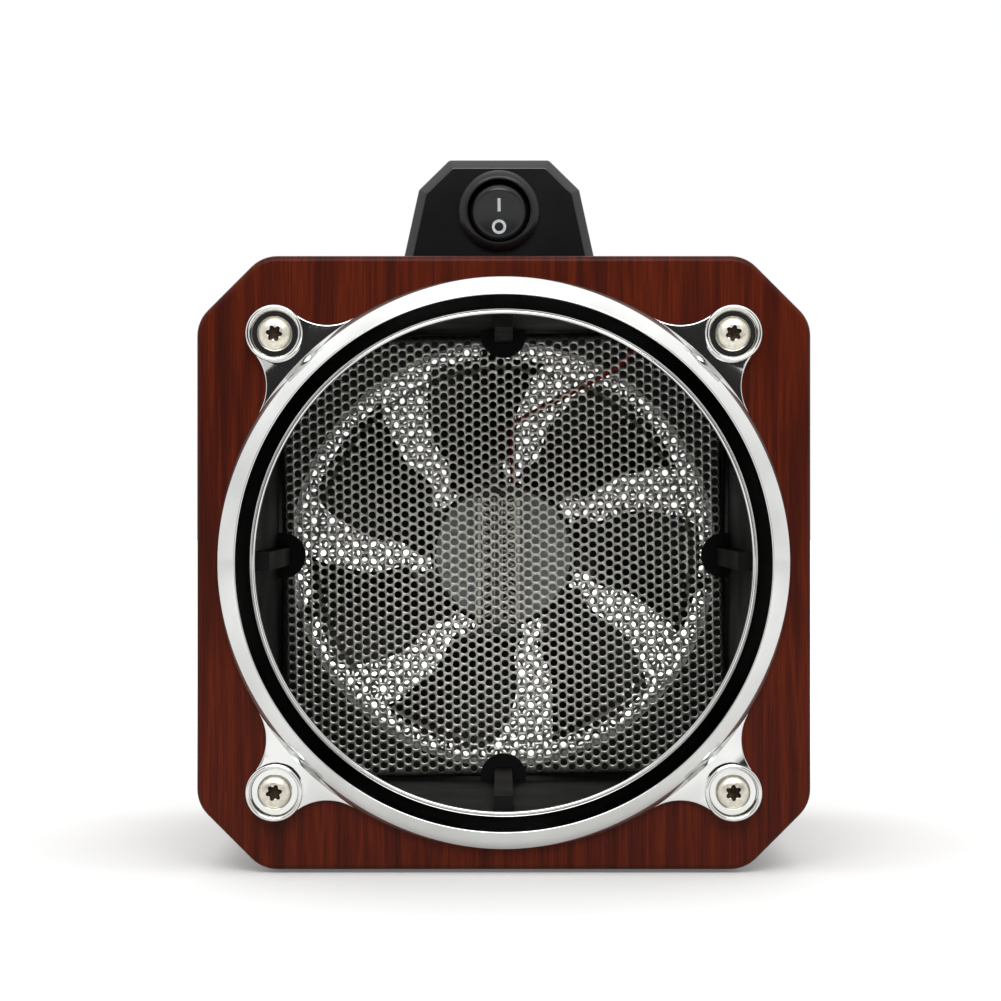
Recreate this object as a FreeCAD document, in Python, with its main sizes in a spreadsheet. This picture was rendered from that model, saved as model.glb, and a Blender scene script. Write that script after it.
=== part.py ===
import FreeCAD, Part
import math
import os
import Sketcher
from FreeCAD import Placement, Rotation, Vector

# An octagonal wood-grain box heater: a chrome bezel, a square black air duct behind it,
# a perforated guard, a small heating bar and an axial fan, with a carrying handle that
# holds a round rocker switch. Millimetres, +Z up, the front faces -Y, and the origin is
# the middle of the footprint on the surface that the feet stand on.

doc = FreeCAD.newDocument("SpaceHeater")
sheet = doc.addObject("Spreadsheet::Sheet", "Sizes")

# alias, value, what it is. A depth is measured from the front panel's face, backwards.
SIZES = (
    ("box_width", 168.0, "cabinet across its flats, both ways"),
    ("box_depth", 150.0, "cabinet from front face to rear face"),
    ("panel_thick", 6.0, "front and rear panels"),
    ("shell_wall", 5.0, "cabinet shell"),
    ("corner_cut", 17.8, "leg of each 45 degree corner"),
    ("corner_round", 10.0, "rounding where a corner cut meets a side"),
    ("edge_round", 1.6, "rounding along the panels' outer edges"),
    ("foot_lift", 1.0, "how far the feet stand below the shell"),
    ("foot_radius", 7.0, "rubber foot"),
    ("foot_recess", 2.5, "depth of a foot's recess in the shell"),
    ("foot_reach", 60.0, "feet from the middle, sideways"),
    ("foot_reach_back", 55.0, "feet from the middle, front to back"),
    ("bezel_radius", 78.5, "bezel flange"),
    ("crest_radius", 73.4, "bezel crest"),
    ("bezel_proud", 6.0, "bezel crest in front of the panel"),
    ("lip_radius", 68.5, "clear opening inside the bezel"),
    ("lip_depth", 11.0, "bezel barrel behind the panel face"),
    ("barrel_radius", 73.2, "outside of the bezel barrel"),
    ("opening_radius", 73.6, "round opening in the front panel"),
    ("screw_square", 125.0, "spacing of the bezel screws, both ways"),
    ("ear_radius", 7.9, "round boss of each bezel ear"),
    ("ear_proud", 5.0, "boss in front of the panel"),
    ("web_thick", 1.6, "flat web between boss and ring"),
    ("web_fillet", 14.0, "hollow corner where a web meets the ring"),
    ("seat_radius", 6.2, "counterbore for a bezel screw"),
    ("seat_floor", 1.5, "counterbore floor in front of the panel"),
    ("head_radius", 4.75, "bezel screw head"),
    ("shank_radius", 2.4, "bezel screw shank"),
    ("insert_radius", 3.5, "brass insert"),
    ("duct_half", 69.3, "half of the duct's inside width"),
    ("duct_wall", 1.5, "duct wall"),
    ("duct_end", 112.0, "depth of the duct's rear end"),
    ("rib_width", 5.3, "rib along the middle of each duct wall"),
    ("rib_height", 4.0, "rib"),
    ("clip_width", 14.0, "round-ended clip over the guard's edge"),
    ("clip_tip", 61.0, "clip tip from the duct's axis"),
    ("clip_depth", 92.4, "depth of the clips' front face"),
    ("clip_thick", 2.6, "clip"),
    ("guard_depth", 95.0, "depth of the front guard's face"),
    ("guard_half", 69.1, "half of the front guard's width"),
    ("guard_thick", 0.8, "perforated sheet"),
    ("guard_pitch", 5.84, "hole spacing of the perforated sheets"),
    ("guard_hole", 2.0, "radius of a hole in the perforated sheets"),
    ("bar_depth", 99.5, "depth of the heating bar's face"),
    ("bar_thick", 11.0, "heating bar, front to back"),
    ("bar_height", 46.8, "heating bar"),
    ("bar_drop", 1.6, "heating bar's middle below the duct's axis"),
    ("fan_depth", 112.0, "depth of the fan frame's face"),
    ("fan_thick", 25.0, "fan frame, front to back"),
    ("fan_half", 70.0, "half of the fan frame's width"),
    ("fan_bore", 67.0, "radius of the fan's opening"),
    ("fan_hole", 62.25, "fan mounting holes from the axis, both ways"),
    ("hub_radius", 23.0, "fan hub"),
    ("hub_depth", 113.5, "depth of the hub's face"),
    ("hub_thick", 17.5, "fan hub, front to back"),
    ("blade_tip", 62.3, "radius of the blade tips"),
    ("blade_count", 7.0, "fan blades"),
    ("shaft_radius", 1.5, "fan shaft"),
    ("rear_mesh_depth", 137.0, "depth of the rear guard's face"),
    ("rear_opening", 68.5, "round opening in the rear panel"),
    ("handle_front", 20.0, "depth of the handle's front face"),
    ("handle_length", 118.0, "handle, front to back"),
    ("handle_shift", -1.3, "handle's middle from the cabinet's middle"),
    ("handle_base", 54.2, "handle's width where it meets the shell"),
    ("handle_shoulder", 45.2, "handle's width at its shoulders"),
    ("handle_flat", 28.0, "handle's flat top"),
    ("shoulder_height", 20.5, "shoulders above the shell"),
    ("handle_height", 28.9, "handle above the shell"),
    ("handle_bevel", 2.4, "bevel around the handle's front face"),
    ("grip_gap_front", 58.0, "depth where the finger gap starts"),
    ("grip_gap_length", 62.0, "finger gap, front to back"),
    ("grip_gap_height", 18.0, "finger gap above the shell"),
    ("switch_height", 14.2, "switch axis above the shell"),
    ("collar_radius", 11.5, "switch collar"),
    ("collar_proud", 3.0, "switch collar in front of the handle"),
    ("socket_radius", 8.8, "round socket that the rocker sits in"),
    ("rocker_radius", 8.6, "rocker's ball-shaped side"),
    ("rocker_pivot", 2.5, "rocker's pivot behind the handle's face"),
    ("rocker_tilt", 10.0, "rocker's tilt each way, degrees"),
    ("pin_radius", 1.2, "rocker's pivot pins"),
    ("grommet_x", 24.0, "cord grommet from the middle"),
    ("grommet_bore", 2.3, "radius of the grommet's bore"),
    ("slot_rise", 75.0, "wiring space above the duct, from the duct's axis"),
    ("wire_radius", 0.9, "insulated lead"),
)
for row, (alias, value, note) in enumerate(SIZES, 1):
    sheet.set("A%d" % row, note)
    sheet.set("B%d" % row, str(value))
    sheet.setAlias("B%d" % row, alias)
doc.recompute()


class Dim:
    """A length with the expression that gives it, so that sums stay tied to the sheet."""

    def __init__(self, value, text):
        self.value = value
        self.text = text

    def joined(self, other, sign, value):
        return Dim(value, "(%s %s %s)" % (self.text, sign, other.text))

    def __add__(self, other):
        other = dim(other)
        return self.joined(other, "+", self.value + other.value)

    def __sub__(self, other):
        other = dim(other)
        return self.joined(other, "-", self.value - other.value)

    def __mul__(self, other):
        other = dim(other)
        return self.joined(other, "*", self.value * other.value)

    def __truediv__(self, other):
        other = dim(other)
        return self.joined(other, "/", self.value / other.value)

    def __neg__(self):
        return dim(0) - self

    def __rsub__(self, other):
        return dim(other) - self

    def __radd__(self, other):
        return dim(other) + self


def dim(value):
    """A plain number as a length; a length stays as it is."""
    return value if isinstance(value, Dim) else Dim(float(value), "%g" % value)


def size(alias):
    """The sheet's cell of that name."""
    return Dim(float(sheet.get(alias)), "Sizes." + alias)


def at(depth):
    """The Y coordinate of a depth behind the front panel's face."""
    return dim(depth) - size("box_depth") / 2


NODES = {}
half = size("box_width") / 2
middle = half + size("foot_lift")
floor_z = size("foot_lift")
roof_z = floor_z + size("box_width")
back_y = at(size("box_depth"))


def node(name, item):
    """Name a finished sub-part; its name is its file's name."""
    item.Label = name
    NODES[name] = item
    return item


def bind(item, **lengths):
    """Tie an object's properties to the sheet."""
    for name, length in lengths.items():
        item.setExpression(name, dim(length).text)
    return item


def place(item, x=0, y=0, z=0, turn=None):
    """Put an object at a place that follows the sheet, turned if a rotation is given."""
    x, y, z = dim(x), dim(y), dim(z)
    item.Placement = Placement(Vector(x.value, y.value, z.value), turn or Rotation())
    for axis, length in (("x", x), ("y", y), ("z", z)):
        item.setExpression("Placement.Base." + axis, length.text)
    return item


ALONG_Y = Rotation(Vector(1, 0, 0), -90)
ALONG_X = Rotation(Vector(0, 1, 0), 90)


def block(name, low, high):
    """A box between two corners."""
    low, high = [dim(v) for v in low], [dim(v) for v in high]
    item = doc.addObject("Part::Box", name)
    bind(item, Length=high[0] - low[0], Width=high[1] - low[1], Height=high[2] - low[2])
    return place(item, *low)


def rod(name, radius, start, length, turn=None):
    """A cylinder from a start point: upwards, or along the axis that turn gives."""
    item = doc.addObject("Part::Cylinder", name)
    bind(item, Radius=radius, Height=length)
    return place(item, *start, turn=turn)


def joined(name, pieces):
    item = doc.addObject("Part::MultiFuse", name)
    item.Shapes = pieces
    return item


def cut(name, base, tools):
    """The base with every tool taken away."""
    item = doc.addObject("Part::Cut", name)
    item.Base = base
    item.Tool = tools[0] if len(tools) == 1 else joined(name + "_tools", tools)
    return item


def common(name, first, second):
    item = doc.addObject("Part::MultiCommon", name)
    item.Shapes = [first, second]
    return item


def group(name, pieces):
    """Separate identical solids that share one node."""
    item = doc.addObject("Part::Compound", name)
    item.Links = pieces
    return node(name, item)


def shaped(name, shape):
    """A sub-part whose shape comes from Part's own functions."""
    item = doc.addObject("Part::Feature", name)
    item.Shape = shape
    return item


def origin_plane(body, role):
    return next(plane for plane in body.Origin.OriginFeatures if plane.Role == role)


def outline(body, role, name, points, lift=0):
    """A closed sketch of straight lines whose corners are tied to the sheet."""
    sketch = body.newObject("Sketcher::SketchObject", name)
    sketch.AttachmentSupport = [(origin_plane(body, role), "")]
    sketch.MapMode = "FlatFace"
    sketch.setExpression("AttachmentOffset.Base.z", dim(lift).text)
    places = [(dim(a), dim(b)) for a, b in points]
    count = len(places)
    for index in range(count):
        (a, b), (c, d) = places[index], places[(index + 1) % count]
        start, end = Vector(a.value, b.value, 0), Vector(c.value, d.value, 0)
        sketch.addGeometry(Part.LineSegment(start, end), False)
    for index in range(count):
        sketch.addConstraint(Sketcher.Constraint("Coincident", index, 2, (index + 1) % count, 1))
    for index, corner in enumerate(places):
        for kind, length in zip(("DistanceX", "DistanceY"), corner):
            made = sketch.addConstraint(Sketcher.Constraint(kind, -1, 1, index, 1, length.value))
            if "Sizes" in length.text:
                sketch.setExpression("Constraints[%d]" % made, length.text)
    return sketch


def turned(name, points, x=0, z=None, lift=0):
    """A body turned about a front-to-back axis from (radius, y) corners."""
    body = doc.addObject("PartDesign::Body", name)
    sketch = outline(body, "XY_Plane", name + "_profile", points, lift)
    turn = body.newObject("PartDesign::Revolution", name + "_turn")
    turn.Profile = sketch
    turn.ReferenceAxis = (sketch, ["V_Axis"])
    turn.Angle = 360
    return place(body, x, 0, middle if z is None else z)


def slab(name, points, y, thick):
    """A body with an (x, z) outline, padded backwards from the plane y."""
    body = doc.addObject("PartDesign::Body", name)
    sketch = outline(body, "XZ_Plane", name + "_outline", points, -dim(y))
    pad = body.newObject("PartDesign::Pad", name + "_pad")
    pad.Profile = sketch
    bind(pad, Length=thick)
    pad.Reversed = True
    return body


def octagon(inset=0):
    """The cabinet's outline, moved inwards by the inset."""
    inset = dim(inset)
    flat = half - inset
    leg = size("corner_cut") - inset * (2 - math.sqrt(2))
    near = flat - leg
    turns = ((flat, near), (near, flat), (-near, flat), (-flat, near),
             (-flat, -near), (-near, -flat), (near, -flat), (flat, -near))
    return [(x, middle + z) for x, z in turns]


def soften(body, radius, wanted):
    """Round the edges of a body's last feature for which wanted(edge) is true."""
    doc.recompute()
    last = body.Tip
    names = ["Edge%d" % (i + 1) for i, edge in enumerate(last.Shape.Edges) if wanted(edge)]
    fillet = body.newObject("PartDesign::Fillet", "%s_round%d" % (body.Name, len(body.Group)))
    fillet.Base = (last, names)
    bind(fillet, Radius=radius)
    return fillet


def along_y(edge):
    start, end = edge.Vertexes[0].Point, edge.Vertexes[-1].Point
    return abs(start.x - end.x) < 1e-6 and abs(start.z - end.z) < 1e-6


def on_plane(y):
    """A test for edges that lie in the plane at y."""
    return lambda edge: all(abs(v.Point.y - y.value) < 1e-6 for v in edge.Vertexes)


def scaled(sign, length):
    return dim(length) if sign > 0 else -dim(length)


def around(reach):
    """Four (x, z) places around the duct's axis, the same distance away both ways."""
    return [(scaled(sx, reach), middle + scaled(sz, reach)) for sx in (-1, 1) for sz in (-1, 1)]


# ---- cabinet: front panel, shell and rear panel -------------------------------------
def octagon_panel(name, y, thick, outer_edge):
    """One octagonal panel with rounded corners and a soft outer edge."""
    body = slab(name + "_blank", octagon(), y, thick)
    soften(body, size("corner_round"), along_y)
    soften(body, size("edge_round"), on_plane(outer_edge))
    return body


# how far a cutting tool runs past the face it enters
OVERRUN = 1.0
panel_thick = size("panel_thick")
insert_places = around(size("screw_square") / 2)
DUCT_SCREW_SHIFT = 35.0
DUCT_SCREW_REACH = 74.6
duct_screw_places = [
    (dim(-DUCT_SCREW_REACH), middle + DUCT_SCREW_SHIFT),
    (dim(DUCT_SCREW_REACH), middle - DUCT_SCREW_SHIFT),
    (dim(DUCT_SCREW_SHIFT), middle + DUCT_SCREW_REACH),
    (dim(-DUCT_SCREW_SHIFT), middle - DUCT_SCREW_REACH),
]
PILOT_RADIUS = 1.1
PILOT_DEPTH = 4.0

front_blank = octagon_panel("front_panel", at(0), panel_thick, at(0))
front_holes = [rod("front_opening", size("opening_radius"), (0, at(-1), middle),
                   panel_thick + 2, ALONG_Y)]
for x, z in insert_places:
    front_holes.append(rod("insert_hole", size("insert_radius"), (x, at(-1), z),
                           panel_thick + 2, ALONG_Y))
for x, z in duct_screw_places:
    front_holes.append(rod("pilot_hole", PILOT_RADIUS, (x, at(panel_thick) - PILOT_DEPTH, z),
                           PILOT_DEPTH + 1, ALONG_Y))
node("front_panel", cut("front_panel", front_blank, front_holes))

shell_length = size("box_depth") - panel_thick * 2
shell_blank = slab("shell_blank", octagon(), at(panel_thick), shell_length)
soften(shell_blank, size("corner_round"), along_y)
shell_hollow = slab("shell_hollow", octagon(size("shell_wall")), at(panel_thick) - OVERRUN,
                    shell_length + OVERRUN * 2)
foot_places = [(scaled(sx, size("foot_reach")), scaled(sy, size("foot_reach_back")))
               for sx in (-1, 1) for sy in (-1, 1)]
handle_x = size("handle_shift")
HANDLE_SCREW_RADIUS = 1.5
HANDLE_SCREW_DEPTHS = (50.5, 128.0)
WIRE_HOLE_RADIUS = 4.0
WIRE_HOLE_DEPTH = 41.0
shell_tools = [shell_hollow]
for x, y in foot_places:
    shell_tools.append(rod("foot_recess", size("foot_radius"), (x, y, floor_z - 1),
                           size("foot_recess") + 1))
for depth in HANDLE_SCREW_DEPTHS:
    shell_tools.append(rod("handle_hole", HANDLE_SCREW_RADIUS,
                           (handle_x, at(depth), roof_z - size("shell_wall") - 1),
                           size("shell_wall") + 2))
shell_tools.append(rod("switch_lead_hole", WIRE_HOLE_RADIUS,
                       (handle_x, at(WIRE_HOLE_DEPTH), roof_z - size("shell_wall") - 1),
                       size("shell_wall") + 2))
node("cabinet_shell", cut("cabinet_shell", shell_blank, shell_tools))

rear_y = at(size("box_depth") - panel_thick)
rear_blank = octagon_panel("rear_panel", rear_y, panel_thick, back_y)
REAR_HOLE_RADIUS = 2.2
GROMMET_NECK_RADIUS = 3.6
slot_z = middle + size("slot_rise")
rear_tools = [rod("rear_opening", size("rear_opening"), (0, rear_y - 1, middle),
                  panel_thick + 2, ALONG_Y)]
for x, z in around(size("fan_hole")):
    rear_tools.append(rod("rear_hole", REAR_HOLE_RADIUS, (x, rear_y - 1, z),
                          panel_thick + 2, ALONG_Y))
rear_tools.append(rod("grommet_hole", GROMMET_NECK_RADIUS,
                      (size("grommet_x"), rear_y - OVERRUN, slot_z), panel_thick + 2 * OVERRUN, ALONG_Y))
node("rear_panel", cut("rear_panel", rear_blank, rear_tools))

feet = []
for x, y in foot_places:
    puck = rod("foot_puck", size("foot_radius"), (x, y, floor_z - size("foot_lift")),
               size("foot_recess") + size("foot_lift"))
    feet.append(puck)
group("feet", feet)


# ---- bezel: ring, four ears, screws and inserts --------------------------------------
proud_y = at(0) - size("bezel_proud")
ring_points = (
    (size("bezel_radius"), at(0)),
    (size("bezel_radius") - 0.2, at(-1.8)),
    (size("bezel_radius") - 1.2, at(-3.9)),
    (size("bezel_radius") - 2.9, at(-5.4)),
    (size("crest_radius") + 0.3, proud_y),
    (size("crest_radius") - 0.3, proud_y),
    (size("crest_radius") - 0.9, at(-5.3)),
    (size("lip_radius") + 1.5, at(size("lip_depth") - 2.4)),
    (size("lip_radius") + 1.2, at(size("lip_depth") - 1.6)),
    (size("lip_radius") + 0.4, at(size("lip_depth") - 1.5)),
    (size("lip_radius"), at(size("lip_depth") - 0.7)),
    (size("lip_radius") + 0.3, at(size("lip_depth"))),
    (size("barrel_radius"), at(size("lip_depth"))),
    (size("barrel_radius"), at(0)),
)
ring = turned("bezel_ring", ring_points)


def web_wire(angle):
    """The flat outline of one ear: a round end with a hollow corner on each side."""
    ring_r, boss_r = size("bezel_radius").value, size("ear_radius").value
    fillet = size("web_fillet").value
    reach = size("screw_square").value / math.sqrt(2)
    far = ring_r + fillet
    swing = math.acos((reach ** 2 + far ** 2 - (boss_r + fillet) ** 2) / (2 * reach * far))
    inner_r = ring_r - 3.0

    def polar(radius, turn):
        return Vector(radius * math.cos(angle + turn), 0, radius * math.sin(angle + turn))

    boss = polar(reach, 0)
    sides = []
    for sign in (-1, 1):
        centre = polar(far, sign * swing)
        on_ring = polar(ring_r, sign * swing)
        on_boss = boss + (centre - boss).normalize() * boss_r
        half_way = centre + ((on_ring - centre) + (on_boss - centre)).normalize() * fillet
        sides.append((polar(inner_r, sign * swing), on_ring, half_way, on_boss))
    (low_in, low_ring, low_half, low_boss), (high_in, high_ring, high_half, high_boss) = sides
    tip = polar(reach + boss_r, 0)
    edges = [
        Part.LineSegment(low_in, low_ring).toShape(),
        Part.Arc(low_ring, low_half, low_boss).toShape(),
        Part.Arc(low_boss, tip, high_boss).toShape(),
        Part.Arc(high_boss, high_half, high_ring).toShape(),
        Part.LineSegment(high_ring, high_in).toShape(),
        Part.LineSegment(high_in, low_in).toShape(),
    ]
    return Part.Wire(edges)


bezel_pieces = [ring]
bezel_tools = []
for index, (x, z) in enumerate(insert_places):
    turn = math.atan2(z.value - middle.value, x.value)
    profile = shaped("ear_profile%d" % index, Part.Face(web_wire(turn)))
    place(profile, 0, at(0), middle)
    web = doc.addObject("Part::Extrusion", "ear_web%d" % index)
    web.Base = profile
    web.DirMode = "Custom"
    web.Dir = Vector(0, -1, 0)
    bind(web, LengthFwd=size("web_thick"))
    web.Solid = True
    boss = doc.addObject("Part::Cone", "ear_boss%d" % index)
    bind(boss, Radius1=size("ear_radius"), Radius2=size("ear_radius") - 0.5,
         Height=size("ear_proud"))
    place(boss, x, at(0), z, Rotation(Vector(1, 0, 0), 90))
    bezel_pieces += [web, boss]
    seat = rod("ear_seat", size("seat_radius"), (x, at(0) - size("ear_proud") - 1, z),
               size("ear_proud") + 1 - size("seat_floor"), ALONG_Y)
    hole = rod("ear_hole", size("shank_radius") + 0.35, (x, at(0) - size("ear_proud"), z),
               size("ear_proud") + 1, ALONG_Y)
    bezel_tools += [seat, hole]
node("bezel", cut("bezel", joined("bezel_solid", bezel_pieces), bezel_tools))


HEAD_HEIGHT = 3.0
SHANK_LENGTH = 6.8
RECESS_DEPTH = 2.0
RECESS_CORE = 1.6
LOBES = 6
LOBE_RADIUS = 0.5
LOBE_REACH = 1.65


def driven_screw(name, x, z, head_y):
    """A pan-head machine screw with a six-lobed recess, its head's back at head_y."""
    head, shank = size("head_radius"), size("shank_radius")
    points = ((0, head_y - HEAD_HEIGHT), (2.4, head_y - HEAD_HEIGHT), (head - 0.6, head_y - 2.4),
              (head, head_y - 1.1), (head, head_y), (shank, head_y),
              (shank, head_y + SHANK_LENGTH), (0, head_y + SHANK_LENGTH))
    blank = turned(name + "_blank", points, x, z)
    mouth_y = head_y - HEAD_HEIGHT - OVERRUN
    deep = RECESS_DEPTH + OVERRUN
    recess = [rod(name + "_core", RECESS_CORE, (x, mouth_y, z), deep, ALONG_Y)]
    for step in range(LOBES):
        angle = math.radians(360 / LOBES * step)
        recess.append(rod(name + "_lobe", LOBE_RADIUS, (x + LOBE_REACH * math.cos(angle), mouth_y,
                                                        z + LOBE_REACH * math.sin(angle)), deep, ALONG_Y))
    return cut(name, blank, recess)


head_y = at(0) - size("seat_floor")
group("bezel_screws", [driven_screw("bezel_screw%d" % i, x, z, head_y)
                       for i, (x, z) in enumerate(insert_places)])
inserts = []
for index, (x, z) in enumerate(insert_places):
    sleeve = rod("insert_sleeve", size("insert_radius"), (x, at(0), z), panel_thick, ALONG_Y)
    bore = rod("insert_bore", size("shank_radius"), (x, at(-1), z), panel_thick + 2, ALONG_Y)
    inserts.append(cut("insert%d" % index, sleeve, [bore]))
group("threaded_inserts", inserts)


# ---- air duct with its ribs, tabs and corner posts -----------------------------------
duct_y = at(panel_thick)
duct_half = size("duct_half")
duct_outer = duct_half + size("duct_wall")
duct_length = size("duct_end") - panel_thick
TAB_HALF = 8.0
TAB_THICK = 2.5
TAB_REACH = 78.0
POST_SIZE = 10.0
POST_LENGTH = 11.5
LEAD_HOLE_X = 42.0
LEAD_DEPTH = 104.5
tube = block("duct_tube", (-duct_outer, duct_y, middle - duct_outer),
             (duct_outer, duct_y + duct_length, middle + duct_outer))
air = block("duct_air", (-duct_half, duct_y - 1, middle - duct_half),
            (duct_half, duct_y + duct_length + 1, middle + duct_half))
pocket = rod("lip_room", size("barrel_radius") + 0.2, (0, duct_y - 1, middle),
             size("lip_depth") - panel_thick + 1.2, ALONG_Y)
duct_pieces = [cut("duct_walls", tube, [air])]
rib_from, rib_to = at(14.0), at(size("clip_depth"))
rib_half = size("rib_width") / 2
rib_in = duct_half - size("rib_height")
rib_low, rib_high = middle - rib_half, middle + rib_half
duct_low, duct_high = middle - duct_half, middle + duct_half
duct_pieces += [
    block("rib_left", (-duct_half, rib_from, rib_low), (-rib_in, rib_to, rib_high)),
    block("rib_right", (rib_in, rib_from, rib_low), (duct_half, rib_to, rib_high)),
    block("rib_top", (-rib_half, rib_from, middle + rib_in), (rib_half, rib_to, duct_high)),
    block("rib_low", (-rib_half, rib_from, duct_low), (rib_half, rib_to, middle - rib_in)),
]
post_y = at(size("duct_end")) - POST_LENGTH
post_span = {-1: (-duct_half, -duct_half + POST_SIZE), 1: (duct_half - POST_SIZE, duct_half)}
for sx in (-1, 1):
    for sz in (-1, 1):
        near, far = post_span[sx]
        low, high = post_span[sz]
        duct_pieces.append(block("duct_post", (near, post_y, middle + low),
                                 (far, post_y + POST_LENGTH, middle + high)))
for x, z in duct_screw_places:
    if abs(x.value) > duct_half.value:
        inner = scaled(1 if x.value > 0 else -1, duct_half + 0.5)
        outer = dim(TAB_REACH if x.value > 0 else -TAB_REACH)
        ends = (inner, outer) if x.value > 0 else (outer, inner)
        duct_pieces.append(block("duct_tab", (ends[0], duct_y, z - TAB_HALF),
                                 (ends[1], duct_y + TAB_THICK, z + TAB_HALF)))
    else:
        up = z.value > middle.value
        inner = middle + scaled(1 if up else -1, duct_half + 0.5)
        outer = middle + (TAB_REACH if up else -TAB_REACH)
        ends = (inner, outer) if up else (outer, inner)
        duct_pieces.append(block("duct_tab", (x - TAB_HALF, duct_y, ends[0]),
                                 (x + TAB_HALF, duct_y + TAB_THICK, ends[1])))
REAR_SCREW_RADIUS = 2.0
POST_HOLE_DEPTH = 8.0
LEAD_HOLE_RADIUS = 2.6
duct_tools = [pocket]
for x, z in duct_screw_places:
    duct_tools.append(rod("tab_hole", PILOT_RADIUS + 0.2, (x, duct_y - OVERRUN, z),
                          TAB_THICK + 2 * OVERRUN, ALONG_Y))
for x, z in around(size("fan_hole")):
    duct_tools.append(rod("post_hole", REAR_SCREW_RADIUS, (x, at(size("duct_end")) - POST_HOLE_DEPTH, z),
                          POST_HOLE_DEPTH + OVERRUN, ALONG_Y))
duct_tools.append(rod("lead_hole", LEAD_HOLE_RADIUS, (LEAD_HOLE_X, at(LEAD_DEPTH), duct_high - OVERRUN), 4))
node("air_duct", cut("air_duct", joined("duct_solid", duct_pieces), duct_tools))


def small_screw(name, x, z, face_y, head_radius, shank_radius, length):
    """A pan-head screw with a slot, driven forwards, with its head's face behind face_y."""
    head = dim(1.8)
    y = dim(face_y)
    points = ((0, y + head), (head_radius * 0.7, y + head), (head_radius, y + 0.9),
              (head_radius, y), (shank_radius, y), (shank_radius, y - length), (0, y - length))
    slot_low, slot_high = y + head - 0.7, y + head + OVERRUN
    blank = turned(name + "_blank", points, x, z)
    slot = block(name + "_slot", (x - head_radius - 1, slot_low, z - 0.4),
                 (x + head_radius + 1, slot_high, z + 0.4))
    return cut(name, blank, [slot])


group("duct_screws", [small_screw("duct_screw%d" % i, x, z, duct_y + TAB_THICK, 2.2,
                                  PILOT_RADIUS, TAB_THICK + PILOT_DEPTH)
                      for i, (x, z) in enumerate(duct_screw_places)])

clip_half = size("clip_width") / 2
clip_y = at(size("clip_depth"))
clips = []
for index in range(4):
    name = "clip%d" % index
    turn = Rotation(Vector(0, 1, 0), 90 * index)
    centre = size("clip_tip") + clip_half
    flat = doc.addObject("Part::Box", name + "_flat")
    bind(flat, Length=duct_half - centre, Width=size("clip_thick"), Height=size("clip_width"))
    place(flat, centre, 0, -clip_half)
    tip = doc.addObject("Part::Cylinder", name + "_tip")
    bind(tip, Radius=clip_half, Height=size("clip_thick"))
    tip.Angle = 180
    tip.Placement = Placement(Vector(centre.value, 0, 0),
                              Rotation(Vector(0, 1, 0), 90) * ALONG_Y)
    tip.setExpression("Placement.Base.x", centre.text)
    piece = joined(name, [flat, tip])
    place(piece, 0, clip_y, middle, turn)
    clips.append(piece)
group("mesh_clips", clips)


# ---- perforated guards ---------------------------------------------------------------
def perforated(half_width, thick, upright, keep_clear=()):
    """A square sheet with a hexagonal field of round holes.

    The nearest holes stand above each other if upright, and side by side if not."""
    pitch, radius = size("guard_pitch").value, size("guard_hole").value
    step = pitch * math.sqrt(3) / 2
    limit = half_width - radius - 0.6
    outer = [Vector(sx * half_width, 0, sz * half_width)
             for sx, sz in ((-1, -1), (1, -1), (1, 1), (-1, 1), (-1, -1))]
    wires = [Part.makePolygon(outer)]
    lines = int(limit / step)
    for line in range(-lines, lines + 1):
        shift = pitch / 2 if line % 2 else 0.0
        for hole in range(-int(limit / pitch) - 1, int(limit / pitch) + 2):
            along, across = hole * pitch + shift, line * step
            x, z = (across, along) if upright else (along, across)
            near = any(math.hypot(x - cx, z - cz) < cr + radius + 0.4 for cx, cz, cr in keep_clear)
            if abs(along) <= limit and not near:
                circle = Part.Circle(Vector(x, 0, z), Vector(0, 1, 0), radius)
                wires.append(Part.Wire(circle.toShape()))
    for cx, cz, cr in keep_clear:
        wires.append(Part.Wire(Part.Circle(Vector(cx, 0, cz), Vector(0, 1, 0), cr).toShape()))
    return Part.Face(wires).extrude(Vector(0, thick, 0))


guard_thick = size("guard_thick").value
front_mesh = shaped("front_mesh", perforated(size("guard_half").value, guard_thick, True))
node("front_mesh", place(front_mesh, 0, at(size("guard_depth")), middle))

reach = size("fan_hole").value
screw_clear = [(sx * reach, sz * reach, REAR_HOLE_RADIUS) for sx in (-1, 1) for sz in (-1, 1)]
rear_sheet = perforated(size("fan_half").value, guard_thick, False, screw_clear)
rear_mesh = shaped("rear_mesh", rear_sheet)
node("rear_mesh", place(rear_mesh, 0, at(size("rear_mesh_depth")), middle))

spacer_y = at(size("rear_mesh_depth") + size("guard_thick"))
spacer = block("spacer_blank", (-size("fan_half"), spacer_y, middle - size("fan_half")),
               (size("fan_half"), rear_y, middle + size("fan_half")))
spacer_tools = [rod("spacer_opening", size("rear_opening"), (0, spacer_y - 1, middle), 9, ALONG_Y)]
for x, z in around(size("fan_hole")):
    spacer_tools.append(rod("spacer_hole", REAR_HOLE_RADIUS, (x, spacer_y - 1, z), 9, ALONG_Y))
node("rear_spacer", cut("rear_spacer", spacer, spacer_tools))
rear_screw_length = back_y - at(size("duct_end")) + 7
group("rear_screws", [small_screw("rear_screw%d" % i, x, z, back_y, 3.6,
                                  REAR_SCREW_RADIUS, rear_screw_length)
                      for i, (x, z) in enumerate(around(size("fan_hole")))])


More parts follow.
